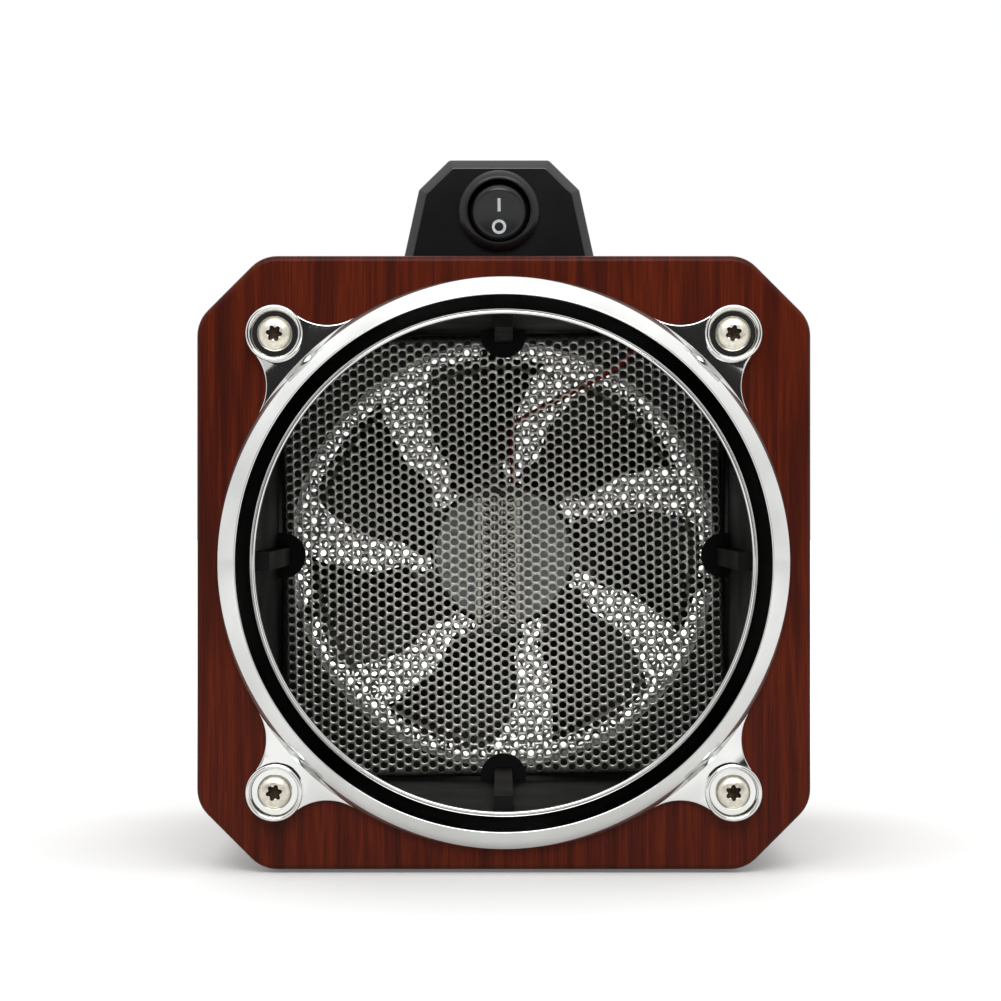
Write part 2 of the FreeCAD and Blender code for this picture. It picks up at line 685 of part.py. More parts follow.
# ---- heating bar: ceramic tiles between electrodes, corrugated fins and rails --------
bar_y = at(size("bar_depth"))
bar_back = bar_y + size("bar_thick")
bar_z = middle - size("bar_drop")
bar_low, bar_high = bar_z - size("bar_height") / 2, bar_z + size("bar_height") / 2
CAP_HEIGHT = 4.0
core_low, core_high = bar_low + CAP_HEIGHT, bar_high - CAP_HEIGHT
BAR_EDGES = {"rail_left": (-8.0, -7.0), "fin_left": (-7.0, -3.0), "foil_left": (-3.0, -2.6),
             "tile": (-2.6, -0.6), "foil_right": (-0.6, -0.2), "fin_right": (-0.2, 3.8),
             "rail_right": (3.8, 5.1)}


def bar_strip(name, inset=0.0, low=core_low, high=core_high):
    left, right = BAR_EDGES[name]
    return block(name, (left, bar_y + inset, low), (right, bar_back - inset, high))


def fin_column(name, folds=26, ribbon=0.9):
    """A corrugated ribbon folded from side to side, measured across as one closed outline."""
    left, right = BAR_EDGES[name]
    low, high = core_low.value, core_high.value
    rise = (high - low) / folds
    path = [(left if i % 2 else right - ribbon, low + rise * i) for i in range(folds + 1)]
    points = [Vector(x, 0, z) for x, z in path]
    points += [Vector(x + ribbon, 0, z) for x, z in reversed(path)]
    points.append(points[0])
    face = Part.Face(Part.makePolygon(points))
    strip = shaped(name, face.extrude(Vector(0, size("bar_thick").value - 1.0, 0)))
    return place(strip, 0, bar_y + 0.5, 0)


tile_gap = 0.5
tile_length = (core_high.value - core_low.value - 2 * tile_gap) / 3
tiles = []
for index in range(3):
    low = core_low + index * (tile_length + tile_gap)
    tiles.append(bar_strip("tile", 0.8, low, low + tile_length))
group("ptc_tiles", tiles)
group("ptc_electrodes", [bar_strip("foil_left", 0.4), bar_strip("foil_right", 0.4)])
group("ptc_fins", [fin_column("fin_left"), fin_column("fin_right")])
group("ptc_rails", [bar_strip("rail_left"), bar_strip("rail_right")])
PEG_RADIUS = 0.9
LEAD_X = 3.0
lead_depths = (103.0, 106.0)
caps = []
for sign, low in ((-1, bar_low), (1, core_high)):
    cap = block("bar_cap", (-8.6, bar_y - 0.4, low), (5.7, bar_back + 0.4, low + CAP_HEIGHT))
    peg_top = at(size("guard_depth") + size("guard_thick"))
    peg = rod("cap_peg", PEG_RADIUS, (-1.5, peg_top, low + CAP_HEIGHT / 2),
              bar_y - peg_top + 1, ALONG_Y)
    caps.append(joined("ptc_cap%d" % (sign + 1), [cap, peg]))
group("ptc_end_caps", caps)


def bent_tube(name, points, radius, bend):
    """A round lead along straight runs that are joined by tangent arcs."""
    corners = [Vector(*[dim(v).value for v in point]) for point in points]
    edges, last = [], corners[0]
    for before, corner, after in zip(corners, corners[1:], corners[2:]):
        inward, outward = (before - corner).normalize(), (after - corner).normalize()
        half_turn = (math.pi - inward.getAngle(outward)) / 2
        trim = bend * math.tan(half_turn)
        start, end = corner + inward * trim, corner + outward * trim
        centre_way = (inward + outward).normalize()
        centre = corner + centre_way * (bend / math.cos(half_turn))
        top = centre - centre_way * bend
        edges += [Part.LineSegment(last, start).toShape(), Part.Arc(start, top, end).toShape()]
        last = end
    edges.append(Part.LineSegment(last, corners[-1]).toShape())
    path = Part.Wire(edges)
    heading = corners[1] - corners[0]
    section = Part.Wire(Part.Circle(corners[0], heading, radius).toShape())
    tube = path.makePipeShell([section], True, True)
    expected = math.pi * radius ** 2 * path.Length
    print("%s: length %.1f, volume %.3f of section times length" % (name, path.Length,
                                                                   tube.Volume / expected))
    return shaped(name, tube)


wire = size("wire_radius").value
cutout_low = slot_z - 2.7
leads = []
for index, depth in enumerate(lead_depths):
    y = at(depth)
    leads.append(bent_tube("heater_lead%d" % index, (
        (LEAD_X, y, bar_high), (LEAD_X, y, bar_high + 19), (36.0, y, middle + 59),
        (LEAD_HOLE_X, y, middle + 65), (LEAD_HOLE_X, y, cutout_low)), wire, 3.0))
group("heater_leads", leads)

# ---- wiring space above the duct -----------------------------------------------------
block_low, block_high = slot_z - 2.8, slot_z + 3.0
CUTOUT_HALF = 4.0
TERMINAL_X = (14.0, 34.0)
TERMINAL_DEPTHS = (98.0, 110.0)
cutout = block("thermal_cutout", (LEAD_HOLE_X - CUTOUT_HALF, at(100.5), cutout_low),
               (LEAD_HOLE_X + CUTOUT_HALF, at(108.5), slot_z + 2.0))
node("thermal_cutout", cutout)
terminal = block("terminal_blank", (TERMINAL_X[0], at(TERMINAL_DEPTHS[0]), block_low),
                 (TERMINAL_X[1], at(TERMINAL_DEPTHS[1]), block_high))
wells = [rod("terminal_well", 1.3, (x, at(depth), slot_z + 1.0), 4)
         for x in (17.5, 24.0, 30.5) for depth in (101.0, 107.0)]
node("terminal_block", cut("terminal_block", terminal, wells))
link_from, link_to = TERMINAL_X[1], LEAD_HOLE_X - CUTOUT_HALF
group("link_wires", [rod("link%d" % i, wire, (link_from, at(depth), slot_z),
                         link_to - link_from, ALONG_X)
                     for i, depth in enumerate((102.5, 106.5))])
cable_from = at(TERMINAL_DEPTHS[1])
node("supply_cable", rod("supply_cable", 2.2, (size("grommet_x"), cable_from, slot_z),
                         rear_y - 2.0 - cable_from, ALONG_Y))
fan_wires = []
for index, x in enumerate((15.5, 17.8)):
    fan_wires.append(bent_tube("fan_wire%d" % index, (
        (x, at(124.0), middle + 67.4), (x, at(124.0), slot_z), (x, cable_from, slot_z)), 0.7, 2.0))
group("fan_wires", fan_wires)
switch_z = roof_z + size("switch_height")
switch_wires = []
for side, start_x in ((-1, 16.4), (1, 21.0)):
    x = handle_x + side * 2.0
    switch_wires.append(bent_tube("switch_wire%d" % (side + 1), (
        (start_x, at(TERMINAL_DEPTHS[0]), slot_z), (start_x, at(75.0), slot_z),
        (x, at(56.0), slot_z), (x, at(WIRE_HOLE_DEPTH), slot_z),
        (x, at(WIRE_HOLE_DEPTH), switch_z - 4.6)), 0.8, 3.0))
group("switch_wires", switch_wires)

# cord grommet: a flange and snout outside, a neck through the panel, a collar inside
GROMMET_FLANGE = 5.4
grommet_points = (
    (size("grommet_bore"), rear_y - 2.0), (GROMMET_NECK_RADIUS + 0.5, rear_y - 2.0),
    (GROMMET_NECK_RADIUS + 0.5, rear_y), (GROMMET_NECK_RADIUS, rear_y),
    (GROMMET_NECK_RADIUS, back_y), (GROMMET_FLANGE, back_y), (GROMMET_FLANGE, back_y + 1.6),
    (3.9, back_y + 2.0), (3.5, back_y + size("bezel_proud")),
    (size("grommet_bore"), back_y + size("bezel_proud")))
node("cord_grommet", turned("cord_grommet", grommet_points, size("grommet_x"), slot_z))


# ---- fan: frame, motor and seven-bladed wheel ----------------------------------------
fan_y = at(size("fan_depth"))
fan_half = size("fan_half")
fan_back = fan_y + size("fan_thick")
FLANGE_THICK = 4.0
BARREL_OUTER = 69.0
STRUT_ANGLES = (94.3, 197.1, 351.4)
MOTOR_PLATE = 2.4
TUBE_OUTER = 4.6
BEARING_RADIUS = 3.6
frame_pieces = [rod("fan_barrel", BARREL_OUTER, (0, fan_y, middle), size("fan_thick"), ALONG_Y)]
for flange_y in (fan_y, fan_back - FLANGE_THICK):
    frame_pieces.append(block("fan_flange", (-fan_half, flange_y, middle - fan_half),
                              (fan_half, flange_y + FLANGE_THICK, middle + fan_half)))
fan_from, fan_through = fan_y - OVERRUN, size("fan_thick") + 2 * OVERRUN
frame_tools = [rod("fan_air", size("fan_bore"), (0, fan_from, middle), fan_through, ALONG_Y)]
for x, z in around(size("fan_hole")):
    frame_tools.append(rod("fan_bolt", REAR_HOLE_RADIUS, (x, fan_from, z), fan_through, ALONG_Y))
rim = cut("fan_rim", joined("fan_walls", frame_pieces), frame_tools)
plate = rod("motor_plate", size("hub_radius") - 1, (0, fan_back - MOTOR_PLATE, middle),
            MOTOR_PLATE, ALONG_Y)
tube_y = at(117.0)
tower = rod("bearing_tower", TUBE_OUTER, (0, tube_y, middle), fan_back - tube_y, ALONG_Y)
motor_pieces = [rim, plate, tower]
for angle in STRUT_ANGLES:
    strut = doc.addObject("Part::Box", "fan_strut")
    bind(strut, Length=size("fan_bore") - 19, Width=MOTOR_PLATE, Height=4.0)
    turn = Rotation(Vector(0, 1, 0), -angle)
    corner = turn.multVec(Vector(20, 0, -2))
    place(strut, corner.x, fan_back - MOTOR_PLATE, middle + corner.z, turn)
    motor_pieces.append(strut)
bearing_bore = rod("bearing_bore", BEARING_RADIUS, (0, tube_y - OVERRUN, middle),
                   fan_back - tube_y - 0.5, ALONG_Y)
node("fan_frame", cut("fan_frame", joined("fan_solid", motor_pieces), [bearing_bore]))

RUNNING_GAP = 0.03
bearings = []
for index, depth in enumerate((117.4, 129.6)):
    low, high = at(depth), at(depth + 4.5)
    ring_profile = ((size("shaft_radius") + RUNNING_GAP, low), (BEARING_RADIUS, low),
                    (BEARING_RADIUS, high), (size("shaft_radius") + RUNNING_GAP, high))
    bearings.append(turned("bearing%d" % index, ring_profile))
group("fan_bearings", bearings)

hub_y = at(size("hub_depth"))
hub_back = hub_y + size("hub_thick")
HUB_WALL = 1.4
BACK_IRON = 0.9
MAGNET_INNER = 18.9
hub_inner = size("hub_radius") - HUB_WALL
cup_profile = ((size("shaft_radius"), hub_y), (size("hub_radius") - 0.8, hub_y),
               (size("hub_radius"), hub_y + 0.8), (size("hub_radius"), hub_back),
               (hub_inner, hub_back), (hub_inner, hub_y + 1.5),
               (3.4, hub_y + 1.5), (3.4, hub_y + 3.0), (size("shaft_radius"), hub_y + 3.0))
cup = turned("hub_cup", cup_profile)
iron_in = hub_inner - BACK_IRON
node("rotor_ring", turned("rotor_ring", ((iron_in, hub_y + 2.0), (hub_inner, hub_y + 2.0),
                                         (hub_inner, hub_back - 0.6), (iron_in, hub_back - 0.6))))
node("rotor_magnet", turned("rotor_magnet", ((MAGNET_INNER, hub_y + 3.0), (iron_in, hub_y + 3.0),
                                             (iron_in, hub_back - 1.0), (MAGNET_INNER, hub_back - 1.0))))
node("fan_shaft", turned("fan_shaft", ((0, hub_y), (size("shaft_radius"), hub_y),
                                       (size("shaft_radius"), at(134.6)), (0, at(134.6)))))
LABEL_RADIUS = 21.2
LABEL_THICK = 0.2
label_y = hub_y - LABEL_THICK
node("hub_label", turned("hub_label", ((0, label_y), (LABEL_RADIUS, label_y),
                                       (LABEL_RADIUS, hub_y), (0, hub_y))))

BLADE_THICK = 1.5
BLADE_FRONT, BLADE_BACK = 0.6, 17.2
BLADE_ARCH = 1.6
# radius, lag of the blade's middle in degrees, and half of its width in degrees: the blades
# sweep backwards, and the gap between two of them keeps nearly the same width
BLADE_STATIONS = (
    (20.0, 0.3, 18.7),
    (28.8, 0.0, 18.7),
    (36.4, -0.9, 18.2),
    (44.1, -2.4, 18.0),
    (49.8, -5.0, 17.7),
    (55.6, -7.5, 17.0),
    (59.4, -10.0, 16.7),
    (64.0, -12.2, 16.2),
)
BLADE_START = 156.0
SECTION_STEPS = 6


def blade_section(radius, centre, half_angle):
    """One closed section of a blade: a thin arched strip, twisted across the air stream."""
    width = radius * math.tan(math.radians(half_angle))
    upper, lower = [], []
    for step in range(SECTION_STEPS + 1):
        share = step / SECTION_STEPS
        along = width * (1 - 2 * share)
        y = BLADE_FRONT + (BLADE_BACK - BLADE_FRONT) * share - BLADE_ARCH * math.sin(math.pi * share)
        thick = BLADE_THICK * (0.45 + 0.55 * math.sin(math.pi * share)) / 2
        upper.append(Vector(radius, y - thick, along))
        lower.append(Vector(radius, y + thick, along))
    front_curve, back_curve = Part.BSplineCurve(), Part.BSplineCurve()
    front_curve.interpolate(upper)
    back_curve.interpolate(lower)
    wire = Part.Wire([front_curve.toShape(), Part.LineSegment(upper[-1], lower[-1]).toShape(),
                      back_curve.toShape(), Part.LineSegment(lower[0], upper[0]).toShape()])
    wire.rotate(Vector(0, 0, 0), Vector(0, 1, 0), -centre)
    return wire


def fan_blade(angle):
    sections = [blade_section(*station) for station in BLADE_STATIONS]
    blade = Part.makeLoft(sections, True)
    blade.rotate(Vector(0, 0, 0), Vector(0, 1, 0), -angle)
    return blade


blade_shapes = []
count = int(size("blade_count").value)
for index in range(count):
    blade_shapes.append(fan_blade(BLADE_START + index * 360.0 / count))
TRIM_LENGTH = 30
trim_from, fan_axis = Vector(0, -5, 0), Vector(0, 1, 0)
outer_trim = Part.makeCylinder(size("blade_tip").value, TRIM_LENGTH, trim_from, fan_axis)
inner_trim = Part.makeCylinder(size("hub_radius").value - 0.5, TRIM_LENGTH, trim_from, fan_axis)
wheel_blades = []
for index, blade in enumerate(blade_shapes):
    trimmed = shaped("blade%d" % index, blade.common(outer_trim).cut(inner_trim))
    wheel_blades.append(place(trimmed, 0, hub_y, middle))
node("fan_wheel", joined("fan_wheel", [cup] + wheel_blades))

# motor: a four-armed core on the bearing tower, its windings and its circuit board
CORE_Y, CORE_THICK = at(120.0), 7.0
core_pieces = [rod("core_ring", TUBE_OUTER + 2.6, (0, CORE_Y, middle), CORE_THICK, ALONG_Y)]
ARM_REACH, ARM_HALF = 17.0, 1.6
core_back = CORE_Y + CORE_THICK
for wide, high in ((ARM_REACH, ARM_HALF), (ARM_HALF, ARM_REACH)):
    core_pieces.append(block("core_arm", (-wide, CORE_Y, middle - high), (wide, core_back, middle + high)))
shoe_rim = cut("shoe_rim", rod("shoe_outer", MAGNET_INNER - 0.5, (0, CORE_Y, middle), CORE_THICK, ALONG_Y),
               [rod("shoe_inner", ARM_REACH - 0.5, (0, CORE_Y - 1, middle), CORE_THICK + 2, ALONG_Y)])
gaps = [block("shoe_gap", (-14.4, CORE_Y - 1, middle - 3), (14.4, core_back + 1, middle + 3))
        for _ in range(2)]
for gap, angle in zip(gaps, (45, 135)):
    turn = Rotation(Vector(0, 1, 0), angle)
    corner = turn.multVec(Vector(-20, 0, -3))
    bind(gap, Length=40)
    place(gap, corner.x, CORE_Y - 1, middle + corner.z, turn)
shoes = cut("core_shoes", shoe_rim, gaps)
core_bore = rod("core_bore", TUBE_OUTER, (0, CORE_Y - 1, middle), CORE_THICK + 2, ALONG_Y)
node("stator_core", cut("stator_core", joined("core_solid", core_pieces + [shoes]), [core_bore]))
windings = []
for index in range(4):
    coil = cut("coil%d" % index,
               block("coil_body", (8.2, -1.2, -4.0), (15.6, CORE_THICK + 1.2, 4.0)),
               [block("coil_core", (8, 0, -ARM_HALF), (16, CORE_THICK, ARM_HALF))])
    place(coil, 0, CORE_Y, middle, Rotation(Vector(0, 1, 0), 90 * index))
    windings.append(coil)
group("stator_windings", windings)
BOARD_RADIUS = 18.0
board_from, board_to = at(129.2), at(130.4)
node("motor_board", turned("motor_board", ((TUBE_OUTER, board_from), (BOARD_RADIUS, board_from),
                                           (BOARD_RADIUS, board_to), (TUBE_OUTER, board_to))))


# ---- handle, switch and rocker -------------------------------------------------------
def handle_outline():
    shoulder, top = roof_z + size("shoulder_height"), roof_z + size("handle_height")
    right = ((size("handle_base") / 2, roof_z), (size("handle_shoulder") / 2, shoulder),
             (size("handle_flat") / 2, top))
    left = [(-x, z) for x, z in reversed(right)]
    return [(handle_x + x, z) for x, z in list(right) + left]


handle_y = at(size("handle_front"))
handle_back = handle_y + size("handle_length")
handle_body = slab("handle_blank", handle_outline(), handle_y, size("handle_length"))
doc.recompute()
end_edges = []
for i, edge in enumerate(handle_body.Tip.Shape.Edges):
    at_end = on_plane(handle_y)(edge) or on_plane(handle_back)(edge)
    if at_end and not all(abs(v.Point.z - roof_z.value) < 1e-6 for v in edge.Vertexes):
        end_edges.append("Edge%d" % (i + 1))
handle_pad = handle_body.Tip
bevel = handle_body.newObject("PartDesign::Chamfer", "handle_bevels")
bevel.Base = (handle_pad, end_edges)
bind(bevel, Size=size("handle_bevel"))
SOCKET_NECK = 10.0
gap_y = at(size("grip_gap_front"))
handle_tools = [
    block("finger_gap", (handle_x - 40, gap_y, roof_z - 1),
          (handle_x + 40, gap_y + size("grip_gap_length"), roof_z + size("grip_gap_height"))),
    rod("switch_hole", SOCKET_NECK, (handle_x, handle_y - 1, switch_z), 20, ALONG_Y),
    block("wiring_room", (handle_x - 11, handle_y + 16, roof_z - 1),
          (handle_x + 11, handle_y + 27, roof_z + 21)),
]
for depth in HANDLE_SCREW_DEPTHS:
    handle_tools.append(rod("handle_pilot", HANDLE_SCREW_RADIUS,
                            (handle_x, at(depth), roof_z - OVERRUN), 10 + OVERRUN))
node("handle", cut("handle", handle_body, handle_tools))

ceiling_z = roof_z - size("shell_wall")
handle_screws = []
for depth in HANDLE_SCREW_DEPTHS:
    head = rod("handle_screw_head", 3.2, (handle_x, at(depth), ceiling_z - 2.0), 2.0)
    shank = rod("handle_screw_shank", HANDLE_SCREW_RADIUS, (handle_x, at(depth), ceiling_z - 1),
                size("shell_wall") + 10)
    slot = block("handle_screw_slot", (handle_x - 4, at(depth) - 0.5, ceiling_z - 3),
                 (handle_x + 4, at(depth) + 0.5, ceiling_z - 1.2))
    solid = joined("handle_screw_solid", [head, shank])
    handle_screws.append(cut("handle_screw%d" % int(depth), solid, [slot]))
group("handle_screws", handle_screws)

collar_y = handle_y - size("collar_proud")
pivot_y = handle_y + size("rocker_pivot")
SOCKET_DEPTH = 12.0
SWITCH_LENGTH = 16.0
body_points = ((size("socket_radius"), collar_y + 0.3), (size("socket_radius") + 0.3, collar_y),
               (size("collar_radius") - 1.2, collar_y), (size("collar_radius") - 0.4, collar_y + 0.5),
               (size("collar_radius"), collar_y + 1.4), (size("collar_radius"), handle_y),
               (SOCKET_NECK, handle_y), (SOCKET_NECK, handle_y + SWITCH_LENGTH),
               (0, handle_y + SWITCH_LENGTH), (0, handle_y + SOCKET_DEPTH),
               (size("socket_radius"), handle_y + SOCKET_DEPTH))
switch_case = turned("switch_case", body_points, handle_x, switch_z)
pin_hole = rod("pin_hole", size("pin_radius") + 0.05, (handle_x - 9.8, pivot_y, switch_z), 19.6, ALONG_X)
node("switch_body", cut("switch_body", switch_case, [pin_hole]))

ball = doc.addObject("Part::Sphere", "rocker_ball")
bind(ball, Radius=size("rocker_radius"))
tilt = size("rocker_tilt").value
ROCKER_REACH = 10.0
ROCKER_BACK = 3.6
ROCKER_VALLEY = -2.6
rocker_crest = ROCKER_VALLEY - ROCKER_REACH * math.tan(math.radians(tilt))
wedge_corners = ((ROCKER_BACK, -ROCKER_REACH), (ROCKER_BACK, ROCKER_REACH), (rocker_crest, ROCKER_REACH),
                 (ROCKER_VALLEY, 0), (rocker_crest, -ROCKER_REACH), (ROCKER_BACK, -ROCKER_REACH))
wedge_face = Part.Face(Part.makePolygon([Vector(-ROCKER_REACH, y, z) for y, z in wedge_corners]))
wedge = shaped("rocker_wedge", wedge_face.extrude(Vector(2 * ROCKER_REACH, 0, 0)))
rocker_core = common("rocker_core", ball, wedge)
PIN_REACH = 9.6
rocker_pin = rod("rocker_pin", size("pin_radius"), (-PIN_REACH, 0, 0), 2 * PIN_REACH, ALONG_X)
rocker = joined("rocker", [rocker_core, rocker_pin])
node("rocker", place(rocker, handle_x, pivot_y, switch_z, Rotation(Vector(1, 0, 0), tilt)))

case_back = handle_y + SWITCH_LENGTH
SPADE_HALF, SPADE_LENGTH, SPADE_RISE = 2.4, 6.0, 4.2
terminals = [block("spade", (handle_x - SPADE_HALF, case_back, switch_z + rise - 0.4),
                   (handle_x + SPADE_HALF, case_back + SPADE_LENGTH, switch_z + rise + 0.4))
             for rise in (-SPADE_RISE, SPADE_RISE)]
group("switch_terminals", terminals)


# ---- checks and files ----------------------------------------------------------------
doc.recompute()
for item in doc.Objects:
    bad = [state for state in item.State if state in ("Invalid", "Error")]
    if bad:
        raise SystemExit("%s is in state %s" % (item.Name, bad))
for name, item in NODES.items():
    if item.Shape.isNull() or not item.Shape.isValid() or item.Shape.Volume <= 0:
        raise SystemExit("%s has no valid shape" % name)
os.makedirs("parts", exist_ok=True)
for name, item in NODES.items():
    item.Shape.exportStep("parts/%s.step" % name)
    box = item.Shape.BoundBox
    reach = "x %7.2f %7.2f  y %7.2f %7.2f  z %7.2f %7.2f" % (
        box.XMin, box.XMax, box.YMin, box.YMax, box.ZMin, box.ZMax)
    print("%-18s %2d solids  volume %9.1f  %s" % (name, len(item.Shape.Solids), item.Shape.Volume, reach))
print("%d nodes" % len(NODES))
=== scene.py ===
# %% [markdown]
# A wood-grain box heater, one piece at a time
#
# The heater's sizes and moving parts already exist as a imported CAD model. This lesson
# loads it as a fixed frame and gives it its looks: some CAD pieces keep their shape and
# only get a finish, and others are replaced with finer meshes in the same place.

# %% Load the frame and set the millimetre
import math

import bmesh
import bpy
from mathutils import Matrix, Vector


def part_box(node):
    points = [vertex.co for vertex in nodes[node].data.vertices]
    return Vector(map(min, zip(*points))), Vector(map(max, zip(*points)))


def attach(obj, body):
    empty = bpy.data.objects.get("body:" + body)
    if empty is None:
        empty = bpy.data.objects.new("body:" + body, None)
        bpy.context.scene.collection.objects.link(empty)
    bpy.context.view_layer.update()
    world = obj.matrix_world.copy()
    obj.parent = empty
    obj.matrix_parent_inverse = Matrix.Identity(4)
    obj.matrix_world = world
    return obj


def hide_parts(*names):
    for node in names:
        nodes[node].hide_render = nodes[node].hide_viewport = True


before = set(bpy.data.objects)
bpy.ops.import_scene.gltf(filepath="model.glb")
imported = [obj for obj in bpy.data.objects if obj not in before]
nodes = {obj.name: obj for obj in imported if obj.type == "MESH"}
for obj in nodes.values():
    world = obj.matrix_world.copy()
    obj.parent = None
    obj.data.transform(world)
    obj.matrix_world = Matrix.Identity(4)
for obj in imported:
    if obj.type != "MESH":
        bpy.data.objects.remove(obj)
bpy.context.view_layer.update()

MM = 0.001

# %% [markdown]
# The camera comes first, so that every later choice can be judged through it. It stands
# level in front of the heater, a little above the middle of the fan, where a person would
# look at a small appliance on a table. A long lens keeps the deep duct calm.

# %% Camera
scene = bpy.context.scene
lens = bpy.data.cameras.new("front_view")
lens.lens = 96.0
lens.sensor_width = 36.0
camera = bpy.data.objects.new("front_view", lens)
camera.location = (-0.9 * MM, -805.0 * MM, 102.0 * MM)
camera.rotation_euler = (math.radians(90.0), 0.0, 0.0)
scene.collection.objects.link(camera)
scene.camera = camera
scene.view_settings.view_transform = "Standard"
print("camera stands at", tuple(camera.location))

# %% [markdown]
# Places come from the frame. The duct, the fan and the bezel share one axis, which runs
# front to back through the middle of the cabinet. Each piece below is measured from that
# axis and from the front panel's face, so nothing has to be fitted by eye.

# %% Measure the frame
panel_low, panel_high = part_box("front_panel")
FACE_Y = panel_low.y
AXIS_Z = (panel_low.z + panel_high.z) / 2
AXIS = Vector((0.0, 0.0, AXIS_Z))
ROOF_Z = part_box("cabinet_shell")[1].z
print("panel face at y", round(FACE_Y, 4), "axis height", round(AXIS_Z, 4))


# %% [markdown]
# A finish in this lesson is a small network of nodes. Real surfaces are never one flat
# colour, so each finish starts from a pattern that lives in the piece's own space: it
# stays put on the piece when the piece turns. Three short helpers make such patterns,
# tint them and raise them as a fine relief.

# %% Helpers for finishes
def tint(red, green, blue):
    """A paint colour given as it looks on a screen, 0 to 255, as the light that the shader wants."""
    def linear(level):
        share = level / 255.0
        return share / 12.92 if share <= 0.04045 else ((share + 0.055) / 1.055) ** 2.4
    return (linear(red), linear(green), linear(blue), 1.0)


def start_finish(name, metallic=0.0, roughness=0.5):
    """A new material with its node tree, its surface shader and its coordinate in metres."""
    material = bpy.data.materials.new(name)
    material.use_nodes = True
    tree = material.node_tree
    shader = tree.nodes["Principled BSDF"]
    shader.inputs["Metallic"].default_value = metallic
    shader.inputs["Roughness"].default_value = roughness
    place = tree.nodes.new("ShaderNodeTexCoord").outputs["Object"]
    return material, tree, shader, place


def grain(tree, place, per_metre, stretch=(1.0, 1.0, 1.0), detail=3.0, warp=0.0):
    """Soft noise with so many grains a metre, drawn out along the axes with a small stretch."""
    mapping = tree.nodes.new("ShaderNodeMapping")
    mapping.inputs["Scale"].default_value = stretch
    noise = tree.nodes.new("ShaderNodeTexNoise")
    noise.inputs["Scale"].default_value = per_metre
    noise.inputs["Detail"].default_value = detail
    noise.inputs["Distortion"].default_value = warp
    tree.links.new(place, mapping.inputs["Vector"])
    tree.links.new(mapping.outputs["Vector"], noise.inputs["Vector"])
    return noise.outputs["Fac"]


def stain(tree, share, stops):
    """Colours along a pattern: stops are (place from 0 to 1, colour)."""
    ramp = tree.nodes.new("ShaderNodeValToRGB")
    band = ramp.color_ramp
    band.elements[0].position, band.elements[0].color = stops[0]
    band.elements[1].position, band.elements[1].color = stops[-1]
    for place, colour in stops[1:-1]:
        band.elements.new(place).color = colour
    tree.links.new(share, ramp.inputs["Fac"])
    return ramp.outputs["Color"]


def remap(tree, share, low, high):
    """The pattern's middle range spread between two values."""
    spread = tree.nodes.new("ShaderNodeMapRange")
    spread.inputs["From Min"].default_value = 0.3
    spread.inputs["From Max"].default_value = 0.7
    spread.inputs["To Min"].default_value = low
    spread.inputs["To Max"].default_value = high
    tree.links.new(share, spread.inputs["Value"])
    return spread.outputs["Result"]


def emboss(tree, shader, share, height, strength=1.0):
    """Raise the surface by the pattern, to a height in metres."""
    bump = tree.nodes.new("ShaderNodeBump")
    bump.inputs["Distance"].default_value = height
    bump.inputs["Strength"].default_value = strength
    tree.links.new(share, bump.inputs["Height"])
    tree.links.new(bump.outputs["Normal"], shader.inputs["Normal"])


# %% [markdown]
# The cabinet is fibreboard under a mahogany veneer. Veneer shows two patterns at once:
# broad soft bands a few millimetres wide, and hair-fine fibres inside them. Both are
# noise drawn out along the grain. On the two flat panels the grain stands upright; on the
# shell it runs round the box, as one long strip of veneer wrapped round it would.

# %% Mahogany veneer
def mahogany(name, across):
    """Veneer whose pattern changes quickly along one axis, 'x' or 'y', and slowly along the rest."""
    material, tree, shader, place = start_finish(name)
    slow = 0.035
    stretch = (1.0, slow, slow) if across == "x" else (slow, 1.0, slow)
    bands = grain(tree, place, 260.0, stretch, detail=3.0, warp=0.25)
    fibres = grain(tree, place, 2300.0, stretch, detail=4.0)
    broad = stain(tree, bands, [(0.32, tint(54, 15, 5)), (0.44, tint(70, 20, 6)),
                                (0.52, tint(84, 27, 7)), (0.60, tint(72, 21, 6)),
                                (0.72, tint(58, 16, 5))])
    fine = stain(tree, fibres, [(0.36, (0.60, 0.56, 0.54, 1.0)), (0.60, (1.05, 1.05, 1.05, 1.0))])
    mix = tree.nodes.new("ShaderNodeMix")
    mix.data_type = "RGBA"
    mix.blend_type = "MULTIPLY"
    mix.inputs["Factor"].default_value = 0.75
    tree.links.new(broad, mix.inputs["A"])
    tree.links.new(fine, mix.inputs["B"])
    tree.links.new(mix.outputs["Result"], shader.inputs["Base Color"])
    tree.links.new(remap(tree, fibres, 0.36, 0.28), shader.inputs["Roughness"])
    shader.inputs["Specular IOR Level"].default_value = 0.08
    shader.inputs["Coat Weight"].default_value = 0.05
    shader.inputs["Coat Roughness"].default_value = 0.2
    emboss(tree, shader, fibres, 0.02 * MM, 0.5)
    return material


upright_veneer = mahogany("upright_veneer", "x")
wrapped_veneer = mahogany("wrapped_veneer", "y")
print("veneers:", upright_veneer.name, wrapped_veneer.name)

# %% [markdown]
# The metals come next. Chrome plate is a near-perfect mirror with a trace of haze, so
# its shape shows through what it reflects. Plated screws are duller, punched sheet is
# satin, and the parts of the motor are plain grey steel. Each has a faint cloud of
# roughness, which is what handling and tooling leave on real metal.

# %% Metals
def metal(name, light, dark, smooth, dull, per_metre, relief=0.0, metallic=1.0):
    """A metal between two tints, with a roughness that drifts between two values."""
    material, tree, shader, place = start_finish(name, metallic=metallic)
    cloud = grain(tree, place, per_metre)
    tree.links.new(stain(tree, cloud, [(0.35, dark), (0.65, light)]), shader.inputs["Base Color"])
    tree.links.new(remap(tree, cloud, smooth, dull), shader.inputs["Roughness"])
    if relief:
        emboss(tree, shader, cloud, relief, 0.4)
    return material


